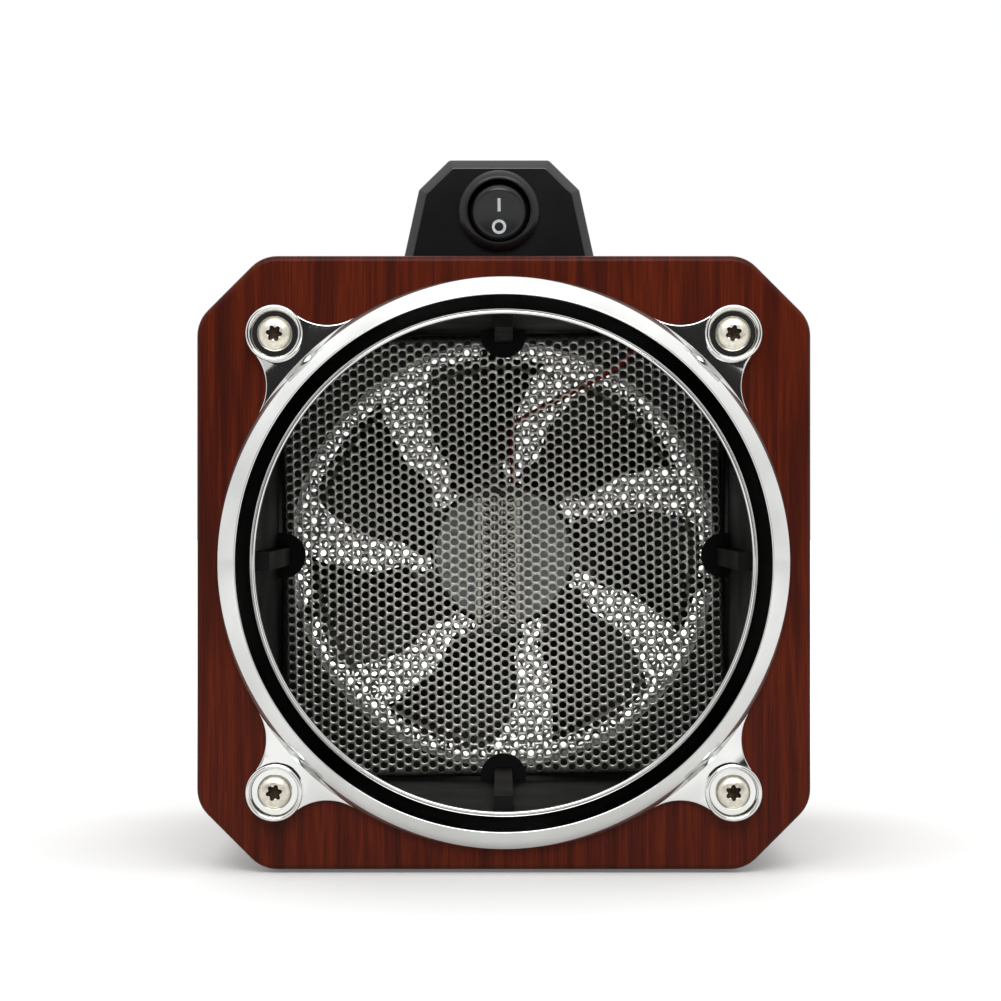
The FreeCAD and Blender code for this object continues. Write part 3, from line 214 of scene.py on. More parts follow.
chrome = metal("chrome_plate", tint(232, 233, 231), tint(220, 221, 219), 0.035, 0.07, 60.0)
plated_steel = metal("plated_screw_steel", tint(236, 231, 216), tint(216, 210, 195),
                     0.3, 0.38, 900.0, 0.01 * MM)
# painted shade: a dark finish for the inside of the screw recesses
painted_recess_shade = metal("painted_recess_shade_steel", tint(74, 62, 50), tint(44, 36, 30), 0.5, 0.6, 900.0)
punched_sheet = metal("punched_sheet", tint(204, 203, 194), tint(166, 165, 157),
                      0.3, 0.42, 700.0, 0.01 * MM, 0.9)
bright_sheet = metal("bright_punched_sheet", tint(236, 236, 232), tint(212, 212, 207),
                     0.3, 0.4, 700.0, 0.01 * MM, 0.6)
motor_steel = metal("motor_steel", tint(170, 170, 172), tint(130, 131, 134), 0.3, 0.42, 1500.0)
brass = metal("turned_brass", tint(214, 178, 100), tint(190, 152, 80), 0.2, 0.32, 900.0)
copper = metal("enamelled_copper", tint(196, 104, 60), tint(150, 70, 40), 0.25, 0.4, 2600.0)

# %% [markdown]
# The duct, the handle and the fan are black moulded plastic. Moulds are spark-eroded, so
# the surface has a very fine pebble that breaks up the shine. The switch is a smoother
# nylon. Leads, labels and the small inner parts only differ in tint and grain, so one
# helper makes all of them.

# %% Plastics, rubber, ceramic and film
def moulded(name, light, dark, smooth, dull, per_metre, relief, shine=0.5):
    """A plastic or a similar solid colour with a fine pebble."""
    material, tree, shader, place = start_finish(name)
    shader.inputs["Specular IOR Level"].default_value = shine
    pebble = grain(tree, place, per_metre, detail=4.0)
    drift = grain(tree, place, 45.0)
    tree.links.new(stain(tree, pebble, [(0.3, dark), (0.7, light)]), shader.inputs["Base Color"])
    tree.links.new(remap(tree, drift, smooth, dull), shader.inputs["Roughness"])
    emboss(tree, shader, pebble, relief, 0.5)
    return material


duct_plastic = moulded("duct_plastic", tint(16, 15, 15), tint(10, 9, 9),
                       0.5, 0.62, 3200.0, 0.03 * MM, 0.1)
handle_plastic = moulded("handle_plastic", tint(17, 17, 18), tint(12, 12, 13),
                         0.16, 0.2, 3600.0, 0.006 * MM, 0.6)
fan_plastic = moulded("fan_plastic", tint(30, 30, 31), tint(20, 20, 21),
                      0.34, 0.46, 2600.0, 0.015 * MM)
switch_nylon = moulded("switch_nylon", tint(20, 20, 21), tint(15, 15, 16),
                       0.24, 0.3, 2000.0, 0.002 * MM, 0.4)
rubber = moulded("black_rubber", tint(38, 38, 38), tint(26, 26, 26), 0.6, 0.75, 1800.0, 0.04 * MM)
red_silicone = moulded("red_silicone", tint(196, 38, 34), tint(160, 24, 24),
                       0.4, 0.5, 1500.0, 0.01 * MM)
black_insulation = moulded("black_insulation", tint(40, 40, 42), tint(28, 28, 30),
                           0.45, 0.55, 1500.0, 0.01 * MM)
pale_nylon = moulded("pale_nylon", tint(226, 223, 212), tint(206, 203, 190),
                     0.4, 0.5, 1200.0, 0.01 * MM)
grey_ceramic = moulded("grey_ceramic", tint(150, 146, 138), tint(104, 100, 95),
                       0.6, 0.7, 2200.0, 0.03 * MM)
label_film = moulded("label_film", tint(206, 212, 214), tint(192, 198, 200),
                     0.3, 0.4, 500.0, 0.004 * MM)
board_green = moulded("board_green", tint(32, 96, 54), tint(20, 70, 38),
                      0.35, 0.45, 1400.0, 0.01 * MM)
mark_paint = moulded("mark_paint", tint(196, 202, 206), tint(170, 177, 182),
                     0.4, 0.5, 1600.0, 0.006 * MM)
print("finishes made:", len(bpy.data.materials))

# %% [markdown]
# CAD pieces whose shape is right stay as they are and only change finish. Their meshes
# are never edited. A bevel modifier may ride on top, because real mouldings have no
# knife edges and a thin highlight along an edge is what makes a small part readable.

# %% Dress the CAD pieces
def dress(material, *names):
    """Give CAD pieces a finish."""
    for name in names:
        shown = nodes[name]
        if not shown.data.materials:
            shown.data.materials.append(material)
        for index in range(len(shown.material_slots)):
            shown.material_slots[index].material = material


def soften_edges(width, *names):
    """A small round along the sharp edges of CAD pieces."""
    for name in names:
        edge = nodes[name].modifiers.new("edge_round", "BEVEL")
        edge.width = width
        edge.segments = 2
        edge.limit_method = "ANGLE"
        edge.angle_limit = math.radians(50.0)


dress(upright_veneer, "front_panel", "rear_panel")
dress(wrapped_veneer, "cabinet_shell")
dress(duct_plastic, "air_duct", "mesh_clips", "rear_spacer")
dress(fan_plastic, "fan_frame", "fan_wheel")
dress(switch_nylon, "ptc_end_caps", "thermal_cutout")
dress(punched_sheet, "ptc_fins", "ptc_rails", "ptc_electrodes")
dress(grey_ceramic, "ptc_tiles", "rotor_magnet")
dress(red_silicone, "heater_leads", "link_wires")
dress(black_insulation, "supply_cable", "fan_wires", "switch_wires")
dress(motor_steel, "fan_bearings", "rotor_ring", "fan_shaft", "stator_core")
dress(plated_steel, "duct_screws", "rear_screws", "handle_screws")
dress(brass, "threaded_inserts", "switch_terminals")
dress(copper, "stator_windings")
dress(label_film, "hub_label")
dress(board_green, "motor_board")
dress(pale_nylon, "terminal_block")
dress(rubber, "feet", "cord_grommet")
soften_edges(0.5 * MM, "feet")
soften_edges(0.3 * MM, "mesh_clips", "ptc_end_caps")
print("dressed", sum(1 for shown in nodes.values() if shown.data.materials), "CAD pieces")

# %% [markdown]
# New pieces are meshes written out as points and faces. Two helpers cover most of them:
# one closes a list of faces into a piece of the heater, and one turns a profile round a
# front-to-back axis, as a lathe does. A profile is a closed loop of (radius, y) pairs.

# %% Helpers for meshes
def make_piece(name, points, faces, material, sharp=35.0):
    """A mesh in the heater's frame, smooth except along edges sharper than the given angle."""
    mesh = bpy.data.meshes.new(name)
    mesh.from_pydata(points, [], faces)
    form = bmesh.new()
    form.from_mesh(mesh)
    bmesh.ops.recalc_face_normals(form, faces=form.faces)
    form.to_mesh(mesh)
    form.free()
    mesh.materials.append(material)
    piece = bpy.data.objects.new(name, mesh)
    scene.collection.objects.link(piece)
    smooth_piece(piece, sharp)
    return piece


def smooth_piece(piece, sharp):
    """Shade the whole piece smooth and mark its sharp edges."""
    piece.data.polygons.foreach_set("use_smooth", [True] * len(piece.data.polygons))
    piece.data.set_sharp_from_angle(angle=math.radians(sharp))


def lathe(profile, segments, centre):
    """Points and faces of a closed (radius, y) profile turned about the Y axis through a centre."""
    points, faces, rows = [], [], []
    for radius, y in profile:
        if radius == 0:
            rows.append([len(points)] * segments)
            points.append((centre.x, y, centre.z))
            continue
        rows.append(list(range(len(points), len(points) + segments)))
        for step in range(segments):
            angle = 2 * math.pi * step / segments
            points.append((centre.x + radius * math.cos(angle), y,
                           centre.z + radius * math.sin(angle)))
    for here, there in zip(rows, rows[1:] + rows[:1]):
        for step in range(segments):
            after = (step + 1) % segments
            face = [here[step], here[after], there[after], there[step]]
            unique = list(dict.fromkeys(face))
            if len(unique) > 2:
                faces.append(unique)
    return points, faces


def bend(centre, radius, first, last, steps):
    """Points of an arc in a profile; an angle of 0 faces the front and 90 faces away from the axis."""
    arc = []
    for step in range(steps + 1):
        angle = math.radians(first + (last - first) * step / steps)
        arc.append((centre[0] + radius * math.sin(angle), centre[1] - radius * math.cos(angle)))
    return arc


def carve(piece, tool, operation):
    """Join a tool to a piece, or take it away, for good; the tool is then gone."""
    step = piece.modifiers.new("carve", "BOOLEAN")
    step.operation = operation
    step.solver = "EXACT"
    step.object = tool
    bpy.context.view_layer.update()
    ready = piece.evaluated_get(bpy.context.evaluated_depsgraph_get())
    mesh = bpy.data.meshes.new_from_object(ready)
    piece.modifiers.clear()
    piece.data = mesh
    bpy.data.objects.remove(tool)


def add_to(body, piece, slot, *replaced):
    """Let a piece ride on a body and hide the CAD pieces that it stands for; slot is not used."""
    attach(piece, body)
    if replaced:
        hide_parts(*replaced)
    print(piece.name, "has", len(piece.data.polygons), "faces")


# %% [markdown]
# The bezel is one chrome casting: a ring with four screw ears. A short upright wall rises
# from the panel, a bold curve leans in from it to a sharp crest, and behind the crest a
# steep cone runs into the duct and ends in a thin bead. A lathe profile gives that curve
# exactly, which matters because chrome shows every fault in a surface as a kink in its
# reflections. The cone leans past 45 degrees, so it mirrors the dark duct, not the room.

# %% Bezel ring
RING_OUTER, RING_SHOULDER, SHOULDER_PROUD = 78.5 * MM, 78.3 * MM, 1.8 * MM
SWEEP_RADIUS = 12.0 * MM
BEAD_CENTRE, BEAD_RADIUS, BEAD_START, BEAD_END = 68.6 * MM, 0.6 * MM, 53.0, -100.0
BARREL, BARREL_DEPTH, THROAT = 73.2 * MM, 11.0 * MM, 69.6 * MM
LEAN_BACK, LEAN_CREST, LEAN_INNER = 56.0, 25.0, -54.0

sweep_centre = (RING_SHOULDER - SWEEP_RADIUS * math.sin(math.radians(LEAN_BACK)),
                FACE_Y - SHOULDER_PROUD + SWEEP_RADIUS * math.cos(math.radians(LEAN_BACK)))
ring_profile = [(BARREL, FACE_Y), (RING_OUTER, FACE_Y), (RING_SHOULDER + 0.1 * MM, FACE_Y - 1.0 * MM)]
ring_profile += bend(sweep_centre, SWEEP_RADIUS, LEAN_BACK, LEAN_CREST, 16)
CREST_ROUND = 0.35 * MM
crest_radius, crest_y = ring_profile[-1]
crest_lean = math.radians(LEAN_CREST)
crest_centre = (crest_radius - CREST_ROUND * math.sin(crest_lean),
                crest_y + CREST_ROUND * math.cos(crest_lean))
ring_profile += bend(crest_centre, CREST_ROUND, LEAN_CREST, LEAN_INNER, 8)[1:]
# 0.8 and 0.6 are the sine and cosine of the lean at which the bead starts
cone_start, cone_end = ring_profile[-1], BEAD_CENTRE + BEAD_RADIUS * 0.8
cone_depth = cone_start[1] + (cone_start[0] - cone_end) * math.tan(math.radians(-LEAN_INNER))
bead_centre = (BEAD_CENTRE, cone_depth + BEAD_RADIUS * 0.6)
ring_profile += bend(bead_centre, BEAD_RADIUS, BEAD_START, BEAD_END, 10)
ring_profile += [(THROAT, FACE_Y + BARREL_DEPTH), (BARREL, FACE_Y + BARREL_DEPTH)]
ring_points, ring_faces = lathe(ring_profile, 240, AXIS)
bezel = make_piece("bezel_casting", ring_points, ring_faces, chrome)
print("ring stands proud by", round(FACE_Y - crest_y, 4))

# %% [markdown]
# Each ear is a flat web with hollow corners that flows out of the ring, and a round boss
# with a counterbore for the screw. The web's outline is two tangent arcs, worked out from
# the radii of the ring, the boss and the hollow. Ear and ring overlap a little and are
# then joined into one skin, so the casting has no hidden inner faces.

# %% Bezel ears
SCREW_REACH = 62.5 * MM
BOSS_RADIUS, BOSS_PROUD = 7.8 * MM, 5.0 * MM
BOSS_RIM = 0.62 * MM
SEAT_RADIUS, SEAT_FLOOR, SCREW_HOLE = 6.45 * MM, 1.5 * MM, 2.75 * MM
WEB_PROUD, WEB_HOLLOW = 1.6 * MM, 14.0 * MM
ear_places = [Vector((side * SCREW_REACH, 0.0, AXIS_Z + rise * SCREW_REACH))
              for side in (-1, 1) for rise in (-1, 1)]


def arc_points(centre, start, end, steps):
    """Points on the short arc between two (x, z) points about a centre."""
    first = math.atan2(start.y - centre.y, start.x - centre.x)
    turn = math.atan2(end.y - centre.y, end.x - centre.x) - first
    turn = (turn + math.pi) % (2 * math.pi) - math.pi
    radius = (start - centre).length
    return [centre + Vector((math.cos(first + turn * i / steps), math.sin(first + turn * i / steps)))
            * radius for i in range(steps + 1)]


def web_outline(angle):
    """The (x, z) outline of one web, from the ring to the inside of the boss wall."""
    reach = SCREW_REACH * math.sqrt(2)
    far = RING_OUTER + WEB_HOLLOW
    swing = math.acos((reach ** 2 + far ** 2 - (BOSS_RADIUS + WEB_HOLLOW) ** 2) / (2 * reach * far))

    def polar(radius, turn):
        return Vector((radius * math.cos(angle + turn), radius * math.sin(angle + turn)))

    boss = polar(reach, 0.0)
    wall = (SEAT_RADIUS + BOSS_RADIUS) / 2
    hollows = [polar(far, sign * swing) for sign in (-1, 1)]
    on_ring = [polar(RING_OUTER, sign * swing) for sign in (-1, 1)]
    on_boss = [boss + (hollow - boss).normalized() * BOSS_RADIUS for hollow in hollows]
    in_wall = [boss + (hollow - boss).normalized() * wall for hollow in hollows]
    inside = [polar(RING_OUTER - 2.5 * MM, turn * swing) for turn in (1.0, 0.5, 0.0, -0.5, -1.0)]
    outline = arc_points(hollows[0], on_ring[0], on_boss[0], 16)
    outline += arc_points(boss, in_wall[0], in_wall[1], 16)
    outline += arc_points(hollows[1], on_boss[1], on_ring[1], 16)
    return outline + inside


def prism(name, outline, front, back, material, edge=0.0):
    """A plate with an (x, z) outline round the duct's axis; edge rounds its front outline."""
    count = len(outline)
    points = [(p.x, front, AXIS_Z + p.y) for p in outline] + [(p.x, back, AXIS_Z + p.y) for p in outline]
    faces = [list(range(count)), list(range(2 * count - 1, count - 1, -1))]
    for here in range(count):
        after = (here + 1) % count
        faces.append([here, here + count, after + count, after])
    plate = make_piece(name, points, faces, material)
    if edge:
        form = bmesh.new()
        form.from_mesh(plate.data)
        rim = [e for e in form.edges if all(abs(v.co.y - front) < 1e-7 for v in e.verts)]
        bmesh.ops.bevel(form, geom=rim, offset=edge, segments=3, affect="EDGES", profile=0.5)
        form.to_mesh(plate.data)
        form.free()
    return plate


boss_profile = [(SCREW_HOLE, FACE_Y), (BOSS_RADIUS, FACE_Y), (BOSS_RADIUS, FACE_Y - 3.6 * MM)]
boss_profile += bend((BOSS_RADIUS - BOSS_RIM, FACE_Y - BOSS_PROUD + BOSS_RIM), BOSS_RIM, 80.0, -80.0, 8)
boss_profile += [(SEAT_RADIUS, FACE_Y - 3.4 * MM), (SEAT_RADIUS, FACE_Y - SEAT_FLOOR - 0.3 * MM),
                 (SEAT_RADIUS - 0.3 * MM, FACE_Y - SEAT_FLOOR), (SCREW_HOLE, FACE_Y - SEAT_FLOOR)]
for number, spot in enumerate(ear_places):
    heading = math.atan2(spot.z - AXIS_Z, spot.x)
    web = prism("web%d" % number, web_outline(heading), FACE_Y - WEB_PROUD, FACE_Y, chrome, 0.35 * MM)
    carve(bezel, web, "UNION")
    boss_points, boss_faces = lathe(boss_profile, 72, spot)
    carve(bezel, make_piece("boss%d" % number, boss_points, boss_faces, chrome), "UNION")
smooth_piece(bezel, 32.0)
add_to("housing", bezel, "chrome", "bezel")

# %% [markdown]
# The bezel is held by four plated pan-head screws with a six-lobed recess. The head is a
# stack of rings: the innermost ones follow the lobes and the outer ones blend into a
# circle, so one simple loop of quads gives the recess, the dome and the rim together. The
# recess faces take a second, darker finish, which is painted shade for the inside of the recess.

# %% Bezel screws
HEAD_HEIGHT, SHANK_RADIUS, SHANK_LENGTH, SHANK_BEVEL = 3.0 * MM, 2.4 * MM, 6.8 * MM, 0.4 * MM
LOBE_RADIUS, LOBE_DEPTH = 1.9 * MM, 0.3 * MM
RECESS_DEPTH = 2.1 * MM
HEAD_BACK = FACE_Y - SEAT_FLOOR
SCREW_STEPS = 96
# the head beyond the recess, as (radius, drop from the top) in millimetres
DOME = ((2.6, 0.06), (3.4, 0.24), (4.0, 0.55), (4.45, 1.0), (4.7, 1.6), (4.75, 2.2), (4.68, 2.8), (4.5, 3.0))


def screw_rings():
    """(share of the lobes, radius, y) for each ring of a screw, from the recess floor to the tip."""
    top = HEAD_BACK - HEAD_HEIGHT
    tip = HEAD_BACK + SHANK_LENGTH
    rings = [(1.0, LOBE_RADIUS * 0.55, top + RECESS_DEPTH),
             (1.0, LOBE_RADIUS * 0.93, top + RECESS_DEPTH * 0.9),
             (1.0, LOBE_RADIUS, top + 0.12 * MM), (0.9, LOBE_RADIUS * 1.07, top + 0.01 * MM)]
    rings += [(0.0, radius * MM, top + drop * MM) for radius, drop in DOME]
    rings += [(0.0, SHANK_RADIUS, HEAD_BACK), (0.0, SHANK_RADIUS, tip - SHANK_BEVEL),
              (0.0, SHANK_RADIUS - SHANK_BEVEL, tip)]
    return rings


def screw_mesh(spot, turn, points, faces):
    """Add one screw to lists of points and faces; turn is where its driver stopped."""
    rows = []
    for share, radius, y in screw_rings():
        rows.append(list(range(len(points), len(points) + SCREW_STEPS)))
        for step in range(SCREW_STEPS):
            angle = 2 * math.pi * step / SCREW_STEPS
            reach = radius + share * LOBE_DEPTH * math.cos(6 * (angle - turn))
            points.append((spot.x + reach * math.cos(angle), y, spot.z + reach * math.sin(angle)))
    for here, there in zip(rows, rows[1:]):
        for step in range(SCREW_STEPS):
            after = (step + 1) % SCREW_STEPS
            faces.append([here[step], here[after], there[after], there[step]])
    faces.append(rows[0])
    faces.append(rows[-1][::-1])


screw_points, screw_faces = [], []
for spot, stop in zip(ear_places, (0.2, 0.9, 0.55, 0.35)):
    screw_mesh(spot, stop, screw_points, screw_faces)
screws = make_piece("bezel_lobed_screws", screw_points, screw_faces, plated_steel, 40.0)
screws.data.materials.append(painted_recess_shade)
# painted shade: the faces inside each recess take the dark finish
for face in screws.data.polygons:
    off_axis = min(math.hypot(face.center.x - spot.x, face.center.z - spot.z) for spot in ear_places)
    below_rim = HEAD_BACK - HEAD_HEIGHT + 0.1 * MM < face.center.y < HEAD_BACK
    face.material_index = 1 if below_rim and off_axis < LOBE_RADIUS + LOBE_DEPTH * 0.8 else 0
add_to("housing", screws, "steel_screws", "bezel_screws")

# %% [markdown]
# Two perforated guards close the duct: one in front of the heating bar and one behind the
# fan. A punched sheet is a regular tiling, so it is built cell by cell: every cell is a
# small rectangle with a round hole, and every second column is moved by half a hole. The
# rim of each hole is rolled over a little, as a punch leaves it, and catches the light.

# %% Perforated sheet
HOLE_STEPS = 12
ROLL = 0.1 * MM
# places of a cell's outer points, as (quarter columns, half rows) from its lower left corner
CELL_RING = ((4, 1), (4, 2), (3, 2), (2, 2), (1, 2), (0, 2),
             (0, 1), (0, 0), (1, 0), (2, 0), (3, 0), (4, 0))


def punched(half, pitch, hole, thick, put, plain):
    """Points and faces of a square perforated sheet.

    put(across, along) gives the front point of a place on the flat sheet, and plain(across,
    along) says which places keep no hole."""
    column = pitch * math.sqrt(3) / 2
    columns = int((half - column / 2) / column) * 2 + 1
    rows = int(half / pitch) * 4
    points, faces, found, holes = [], [], {}, []
    start_across, start_along = -columns * column / 2, -rows * pitch / 4

    def add(across, along, back):
        x, y, z = put(across, along)
        points.append((x, y + back, z))
        return len(points) - 1

    def corner(quarter, row, back):
        key = (quarter, row, back)
        if key not in found:
            across = start_across + quarter * column / 4
            along = start_along + row * pitch / 2
            if quarter < 0 or quarter > 4 * columns:
                across = math.copysign(half, across)
            if row < 0 or row > rows:
                along = math.copysign(half, along)
            found[key] = add(across, along, thick if back else 0.0)
        return found[key]

    def sheet_face(keys):
        faces.append([corner(q, r, False) for q, r in keys])
        faces.append([corner(q, r, True) for q, r in reversed(keys)])

    def cell(quarter, row):
        middle_across = start_across + (quarter + 2) * column / 4
        middle_along = start_along + (row + 1) * pitch / 2
        ring = [(quarter + q, row + r) for q, r in CELL_RING]
        if plain(middle_across, middle_along):
            sheet_face(ring)
            return
        holes.append((middle_across, middle_along))
        loops = []
        for radius, back in ((hole + ROLL, 0.0), (hole, ROLL), (hole, thick)):
            loops.append([add(middle_across + radius * math.cos(2 * math.pi * s / HOLE_STEPS),
                              middle_along + radius * math.sin(2 * math.pi * s / HOLE_STEPS), back)
                          for s in range(HOLE_STEPS)])
        front = [corner(q, r, False) for q, r in ring]
        rear = [corner(q, r, True) for q, r in ring]
        loops = [front] + loops + [rear]
        for here, there in zip(loops, loops[1:]):
            for s in range(HOLE_STEPS):
                after = (s + 1) % HOLE_STEPS
                faces.append([here[s], here[after], there[after], there[s]])

    for index in range(columns):
        left = 4 * index
        first = index % 2
        for row in range(first, rows - 1, 2):
            cell(left, row)
        if first:
            sheet_face([(left, 0), (left + 4, 0)] + [(left + q, 1) for q in (4, 3, 2, 1, 0)])
            sheet_face([(left + q, rows - 1) for q in range(5)] + [(left + 4, rows), (left, rows)])
        steps = [left + 4] if first else [left + 1, left + 2, left + 3, left + 4]
        sheet_face([(left, -1), (left + 4, -1)] + [(q, 0) for q in reversed(steps)] + [(left, 0)])
        sheet_face([(left, rows)] + [(q, rows) for q in steps]
                   + [(left + 4, rows + 1), (left, rows + 1)])
    right = 4 * columns
    for row in range(-1, rows + 1):
        sheet_face([(-1, row), (0, row), (0, row + 1), (-1, row + 1)])
        sheet_face([(right, row), (right + 1, row), (right + 1, row + 1), (right, row + 1)])
    rim = [(-1, row) for row in range(-1, rows + 2)]
    rim += [(4 * index, rows + 1) for index in range(columns + 1)]
    rim += [(right + 1, row) for row in range(rows + 1, -2, -1)]
    rim += [(4 * index, -1) for index in range(columns, -1, -1)]
    for here, after in zip(rim, rim[1:] + rim[:1]):
        faces.append([corner(*here, False), corner(*after, False),
                      corner(*after, True), corner(*here, True)])
    print("perforated sheet:", columns, "columns,", len(holes), "holes")
    return points, faces


# %% [markdown]
# The front guard's holes stand above each other in upright columns. Its middle is pressed
# back into a shallow round dish and its edge is folded back, which both stiffen a thin
# sheet. The whole sheet sits turned by about a degree, as a sheet fitted by hand may.

# %% Front guard
guard_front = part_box("front_mesh")[0].y
GUARD_THICK = 0.8 * MM
FRONT_HALF, FRONT_PITCH, FRONT_HOLE = 68.2 * MM, 2.92 * MM, 1.08 * MM
DISH_RADIUS, DISH_SLOPE, DISH_DEPTH = 58.8 * MM, 1.7 * MM, 2.6 * MM
FOLD_START, FOLD_SLOPE = 66.9 * MM, 1.8
TILT = math.radians(0.9)


def dish(distance):
    """How far the front guard is pressed back at a distance from its middle."""
    share = min(1.0, max(0.0, (DISH_RADIUS - distance) / DISH_SLOPE))
    return DISH_DEPTH * share * share * (3 - 2 * share)


def on_front_guard(across, along):
    """The place of a point of the front guard, whose edge is folded back all round."""
    fold = max(0.0, abs(across) - FOLD_START, abs(along) - FOLD_START) * FOLD_SLOPE
    x = across * math.cos(TILT) - along * math.sin(TILT)
    z = across * math.sin(TILT) + along * math.cos(TILT)
    return x, guard_front + fold + dish(math.hypot(x, z)), AXIS_Z + z


front_points, front_faces = punched(FRONT_HALF, FRONT_PITCH, FRONT_HOLE, GUARD_THICK,
                                    on_front_guard, lambda across, along: False)
front_guard = make_piece("front_guard_sheet", front_points, front_faces, punched_sheet, 50.0)
add_to("housing", front_guard, "mesh_metal", "front_mesh")

# %% [markdown]
# The rear guard is the same sheet turned a quarter: its holes stand side by side. It lies
# flat between the fan and the rear panel, and stays plain at the four places where the
# long rear screws pass through.

# %% Rear guard
rear_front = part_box("rear_mesh")[0].y
REAR_HALF, REAR_PITCH, REAR_HOLE = 69.8 * MM, 3.0 * MM, 1.05 * MM
REAR_SCREW_REACH = 62.25 * MM


def on_rear_guard(across, along):
    """The place of a point of the rear guard."""
    return along, rear_front, AXIS_Z + across


def by_rear_screw(across, along):
    """True near the screws in the four corners."""
    return math.hypot(abs(across) - REAR_SCREW_REACH, abs(along) - REAR_SCREW_REACH) < 4.0 * MM


rear_points, rear_faces = punched(REAR_HALF, REAR_PITCH, REAR_HOLE, GUARD_THICK,
                                  on_rear_guard, by_rear_screw)
rear_guard = make_piece("rear_guard_sheet", rear_points, rear_faces, bright_sheet, 50.0)
add_to("housing", rear_guard, "mesh_metal", "rear_mesh")

# %% [markdown]
# The handle is one moulding, six-sided in outline, with a wide bevel round each end and an
# opening for the fingers. Two helpers draw its outline: one moves it inwards for the
# bevel, and one rounds its corners, as a mould needs.

# %% Handle outline
handle_low, handle_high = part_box("handle")
HANDLE_X = (handle_low.x + handle_high.x) / 2
HANDLE_FRONT, HANDLE_BACK = handle_low.y, handle_high.y
SHOULDER_RISE, SHOULDER_HALF, FLAT_HALF = 20.5 * MM, 22.6 * MM, 14.0 * MM
HANDLE_BEVEL = 2.4 * MM
base_half = (handle_high.x - handle_low.x) / 2
handle_corners = [Vector((base_half, ROOF_Z)), Vector((SHOULDER_HALF, ROOF_Z + SHOULDER_RISE)),
                  Vector((FLAT_HALF, handle_high.z)), Vector((-FLAT_HALF, handle_high.z)),
                  Vector((-SHOULDER_HALF, ROOF_Z + SHOULDER_RISE)), Vector((-base_half, ROOF_Z))]


def shrunk(corners, inset):
    """An open outline, standing on the roof, moved inwards on all sides but the bottom one."""
    lines = []
    for here, after in zip(corners, corners[1:]):
        along = (after - here).normalized()
        inward = Vector((-along.y, along.x))
        lines.append((here + inward * inset, along))
    first, last = lines[0], lines[-1]
    moved = [first[0] + first[1] * (ROOF_Z - first[0].y) / first[1].y]
    for (spot, way), (other, heading) in zip(lines, lines[1:]):
        cross = way.x * heading.y - way.y * heading.x
        reach = ((other.x - spot.x) * heading.y - (other.y - spot.y) * heading.x) / cross
        moved.append(spot + way * reach)
    moved.append(last[0] + last[1] * (ROOF_Z - last[0].y) / last[1].y)
    return moved


def rounded(corners, radius, steps=4):
    """The same outline with its upper corners rounded."""
    outline = [corners[0]]
    for before, corner, after in zip(corners, corners[1:], corners[2:]):
        to_before, to_after = (before - corner).normalized(), (after - corner).normalized()
        half_angle = to_before.angle(to_after) / 2
        trim = radius / math.tan(half_angle)
        middle = corner + (to_before + to_after).normalized() * (radius / math.sin(half_angle))
        outline += arc_points(middle, corner + to_before * trim, corner + to_after * trim, steps)
    return outline + [corners[-1]]


# %% [markdown]
# The body is a stack of those outlines from front to back, skinned into a solid. The
# rings at each end step inwards, which makes the bevel with a small round on both of its
# edges, so that it catches one clean line of light.

# %% Handle body
def handle_ring(inset, y):
    """One closed ring of the handle at a depth."""
    outline = rounded(shrunk(handle_corners, inset), 1.4 * MM)
    return [(HANDLE_X + p.x, y, p.y) for p in outline]


soft = 0.3 * MM
# (how far inwards, how far from the end) of each ring at an end of the handle
end_rings = [(HANDLE_BEVEL + soft, 0.0), (HANDLE_BEVEL, 0.08 * MM),
             (HANDLE_BEVEL - soft, 0.28 * MM), (soft, HANDLE_BEVEL - 0.28 * MM),
             (0.1 * MM, HANDLE_BEVEL - 0.02 * MM), (0.0, HANDLE_BEVEL + soft)]
handle_rings = [handle_ring(inset, HANDLE_FRONT + depth) for inset, depth in end_rings]
handle_rings += [handle_ring(inset, HANDLE_BACK - depth) for inset, depth in reversed(end_rings)]
around = len(handle_rings[0])
handle_points = [point for ring in handle_rings for point in ring]
last = len(handle_points) - 1
handle_faces = [list(range(around)), list(range(last, last - around, -1))]
for number in range(len(handle_rings) - 1):
    for step in range(around):
        after = (step + 1) % around
        base = number * around
        handle_faces.append([base + step, base + after, base + around + after, base + around + step])
handle = make_piece("carrying_handle", handle_points, handle_faces, handle_plastic, 30.0)


# %% [markdown]
# Three openings are carved out of the body: the gap for the fingers, the room for the
# switch leads, and the round hole that the switch snaps into. Drawing the body first and
# carving it after keeps each shape simple enough to read.

# %% Openings in the handle
def side_block(name, y_low, y_high, z_top, half_width, corner):
    """A block under a height, with rounded upper corners, that runs across the handle."""
    floor_z = ROOF_Z - 2.0 * MM
    outline = [(y_low, floor_z)]
    for middle, first in ((y_low + corner, math.pi), (y_high - corner, math.pi / 2)):
        for step in range(9):
            angle = first - math.pi / 2 * step / 8
            outline.append((middle + corner * math.cos(angle),
                            z_top - corner + corner * math.sin(angle)))
    outline.append((y_high, floor_z))
    count = len(outline)
    points = [(HANDLE_X + side * half_width, y, z) for side in (-1, 1) for y, z in outline]
    faces = [list(range(count)), list(range(2 * count - 1, count - 1, -1))]
    faces += [[s, (s + 1) % count, (s + 1) % count + count, s + count] for s in range(count)]
    return make_piece(name, points, faces, handle_plastic)


